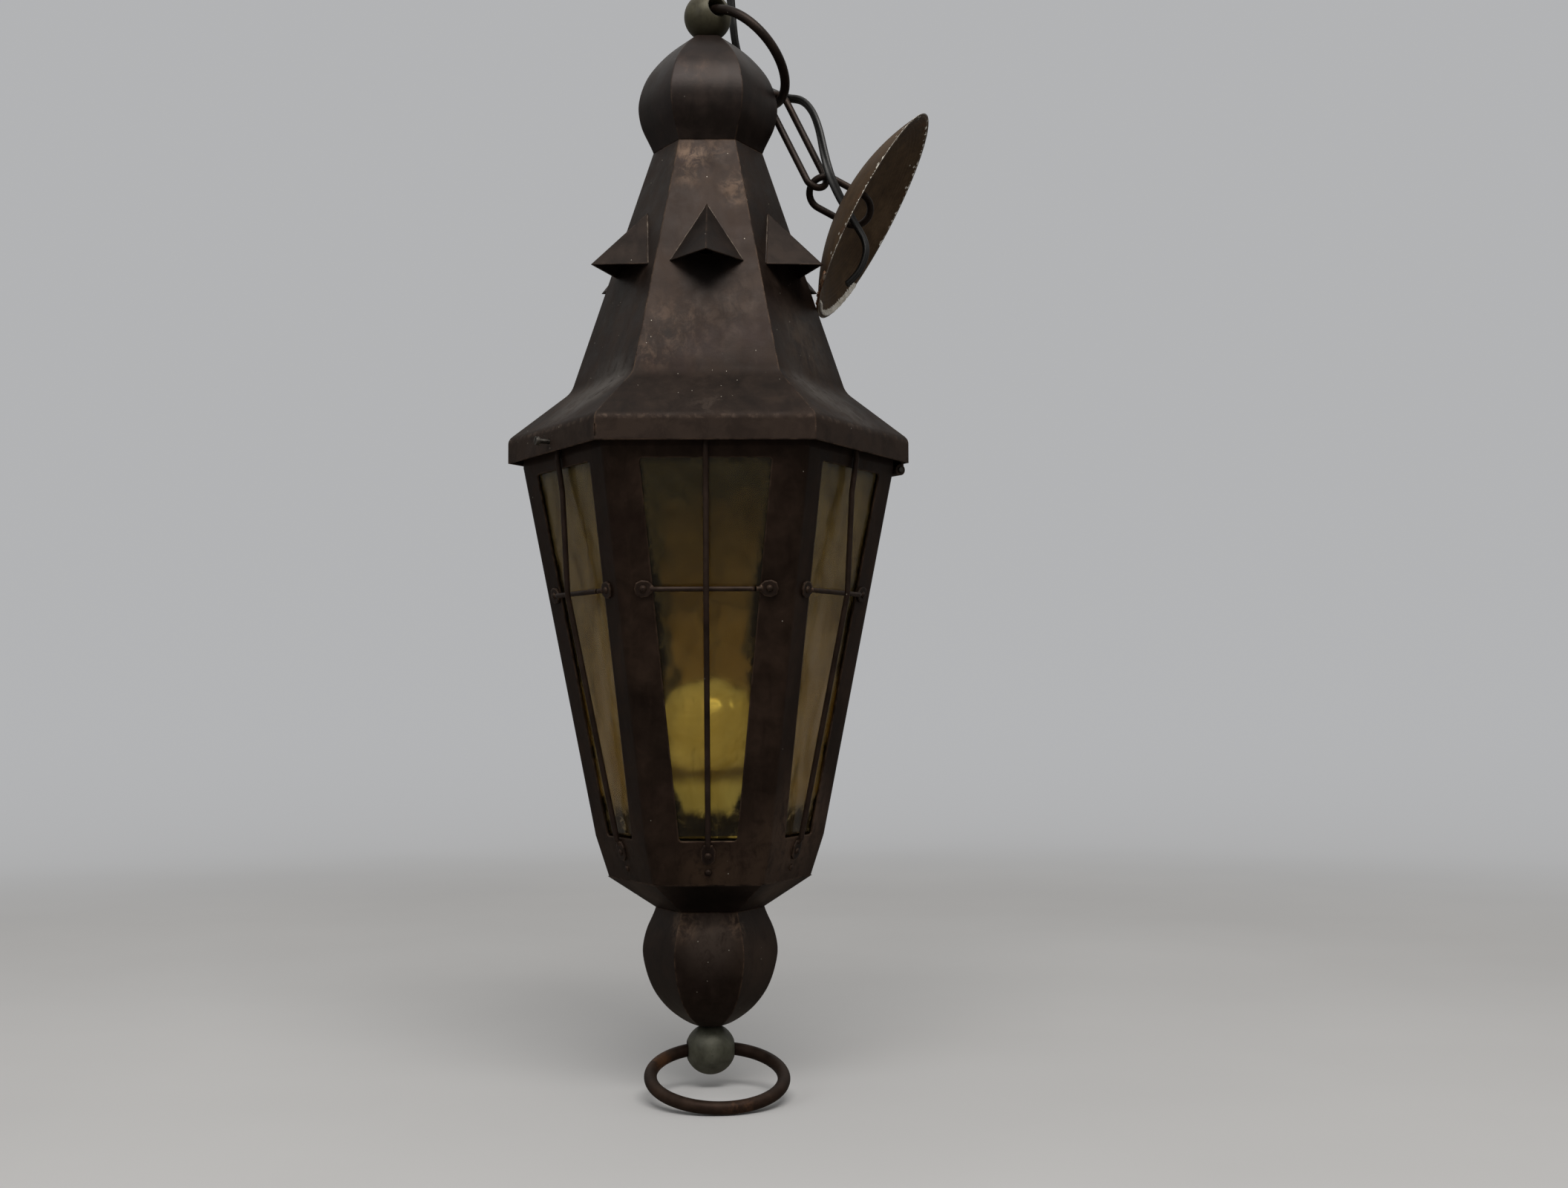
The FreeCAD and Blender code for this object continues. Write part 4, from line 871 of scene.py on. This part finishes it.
# round pale floor that turns up into a glowing cove; the cove is only seen, the sky above gives the light
g = Mat("studio_floor")
far = g.math("POWER", g.math("ADD", g.math("POWER", g.axis(0), 2.0), g.math("POWER", g.axis(1), 2.0)), 0.5)
glow = g.mr(far, 0.9, 2.3)
tone = g.noise(2.2, 4, 0.5)
col = g.ramp(tone, [(0.3, (0.57, 0.57, 0.575)), (0.7, (0.61, 0.61, 0.615))])
g.set(Base_Color=g.mix(glow, col, (0.0, 0.0, 0.0)), Roughness=0.8, Emission_Color=(1.0, 1.01, 1.03, 1.0), Emission_Strength=g.math("MULTIPLY", glow, 0.445))
g.b.inputs["Specular IOR Level"].default_value = 0.1
cove = [(1.2, floor_z), (1.7, floor_z)]
for k in range(1, 17):
    a = math.pi / 2 * k / 16
    cove.append((1.7 + 0.9 * math.sin(a), floor_z + 0.9 * (1 - math.cos(a))))
cove.append((2.6, floor_z + 3.0))
floor = spin("studio_floor", [(0.0, floor_z), (0.6, floor_z), (1.2, floor_z)], g.m)
wall = spin("studio_cove", cove, g.m)
wall.visible_shadow = False
wall.visible_diffuse = False
wall.visible_glossy = False
floor.visible_glossy = False

# a dim card behind the lantern, seen only through the glass: painted shade standing in for a shaded wall, its glow
# darker at the top than lower down
g = Mat("studio_card")
glow = g.mr(g.axis(2), -0.31, -0.57, 0.016, 0.205, "LINEAR")
g.set(Base_Color=(0, 0, 0), Emission_Color=(1.0, 0.85, 0.80, 1.0), Emission_Strength=glow, Roughness=1.0)
g.b.inputs["Specular IOR Level"].default_value = 0.0
bm = bmesh.new()
vs = [bm.verts.new((x, 0.155, z)) for x, z in ((-0.7, -0.69), (0.7, -0.69), (0.7, 0.1), (-0.7, 0.1))]
bm.faces.new(vs)
me = bpy.data.meshes.new("studio_card")
bm.to_mesh(me)
bm.free()
card = new_object("studio_card", me)
dress(card, g.m)
card.visible_camera = False
card.visible_diffuse = False
card.visible_glossy = False
card.visible_shadow = False

world = bpy.data.worlds.new("studio")
scene.world = world
world.use_nodes = True
wt = world.node_tree
bg = wt.nodes["Background"]
tc = wt.nodes.new("ShaderNodeTexCoord")
sx = wt.nodes.new("ShaderNodeSeparateXYZ")
wt.links.new(tc.outputs["Generated"], sx.inputs[0])
mp = wt.nodes.new("ShaderNodeMapRange")
mp.inputs[1].default_value, mp.inputs[2].default_value = -1.0, 1.0
wt.links.new(sx.outputs[2], mp.inputs[0])
rp = wt.nodes.new("ShaderNodeValToRGB")
rp.color_ramp.interpolation = "EASE"
el = rp.color_ramp.elements
el[0].position, el[0].color = 0.20, (0.076, 0.065, 0.052, 1)
el[1].position, el[1].color = 1.00, (0.62, 0.61, 0.59, 1)
for pos, v in ((0.50, 0.12), (0.64, 0.19), (0.84, 0.48)):
    e = el.new(pos)
    e.color = (v, v * 0.985, v * 0.955, 1)
wt.links.new(mp.outputs[0], rp.inputs[0])
wt.links.new(rp.outputs[0], bg.inputs["Color"])
bg.inputs["Strength"].default_value = 1.0


def area(name, loc, target, size, energy, color=(1, 1, 1)):
    l = bpy.data.lights.new(name, "AREA")
    l.shape = "RECTANGLE"
    l.size, l.size_y = size
    l.energy = energy
    l.color = color
    o = bpy.data.objects.new(name, l)
    scene.collection.objects.link(o)
    d = (Vector(target) - Vector(loc)).normalized()
    o.matrix_world = Matrix.Translation(loc) @ d.to_track_quat("-Z", "Y").to_matrix().to_4x4()
    return o


area("overhead", (0.14, -1.10, 1.18), (0, -0.05, -0.2), (1.5, 0.7), 21, (1.0, 0.97, 0.93))
area("window", (-1.5, -1.3, 0.55), (0, 0, -0.35), (0.7, 1.0), 3.0, (0.95, 0.98, 1.0))

scene.view_settings.view_transform = "Standard"
scene.view_settings.look = "None"
scene.view_settings.exposure = 0.0
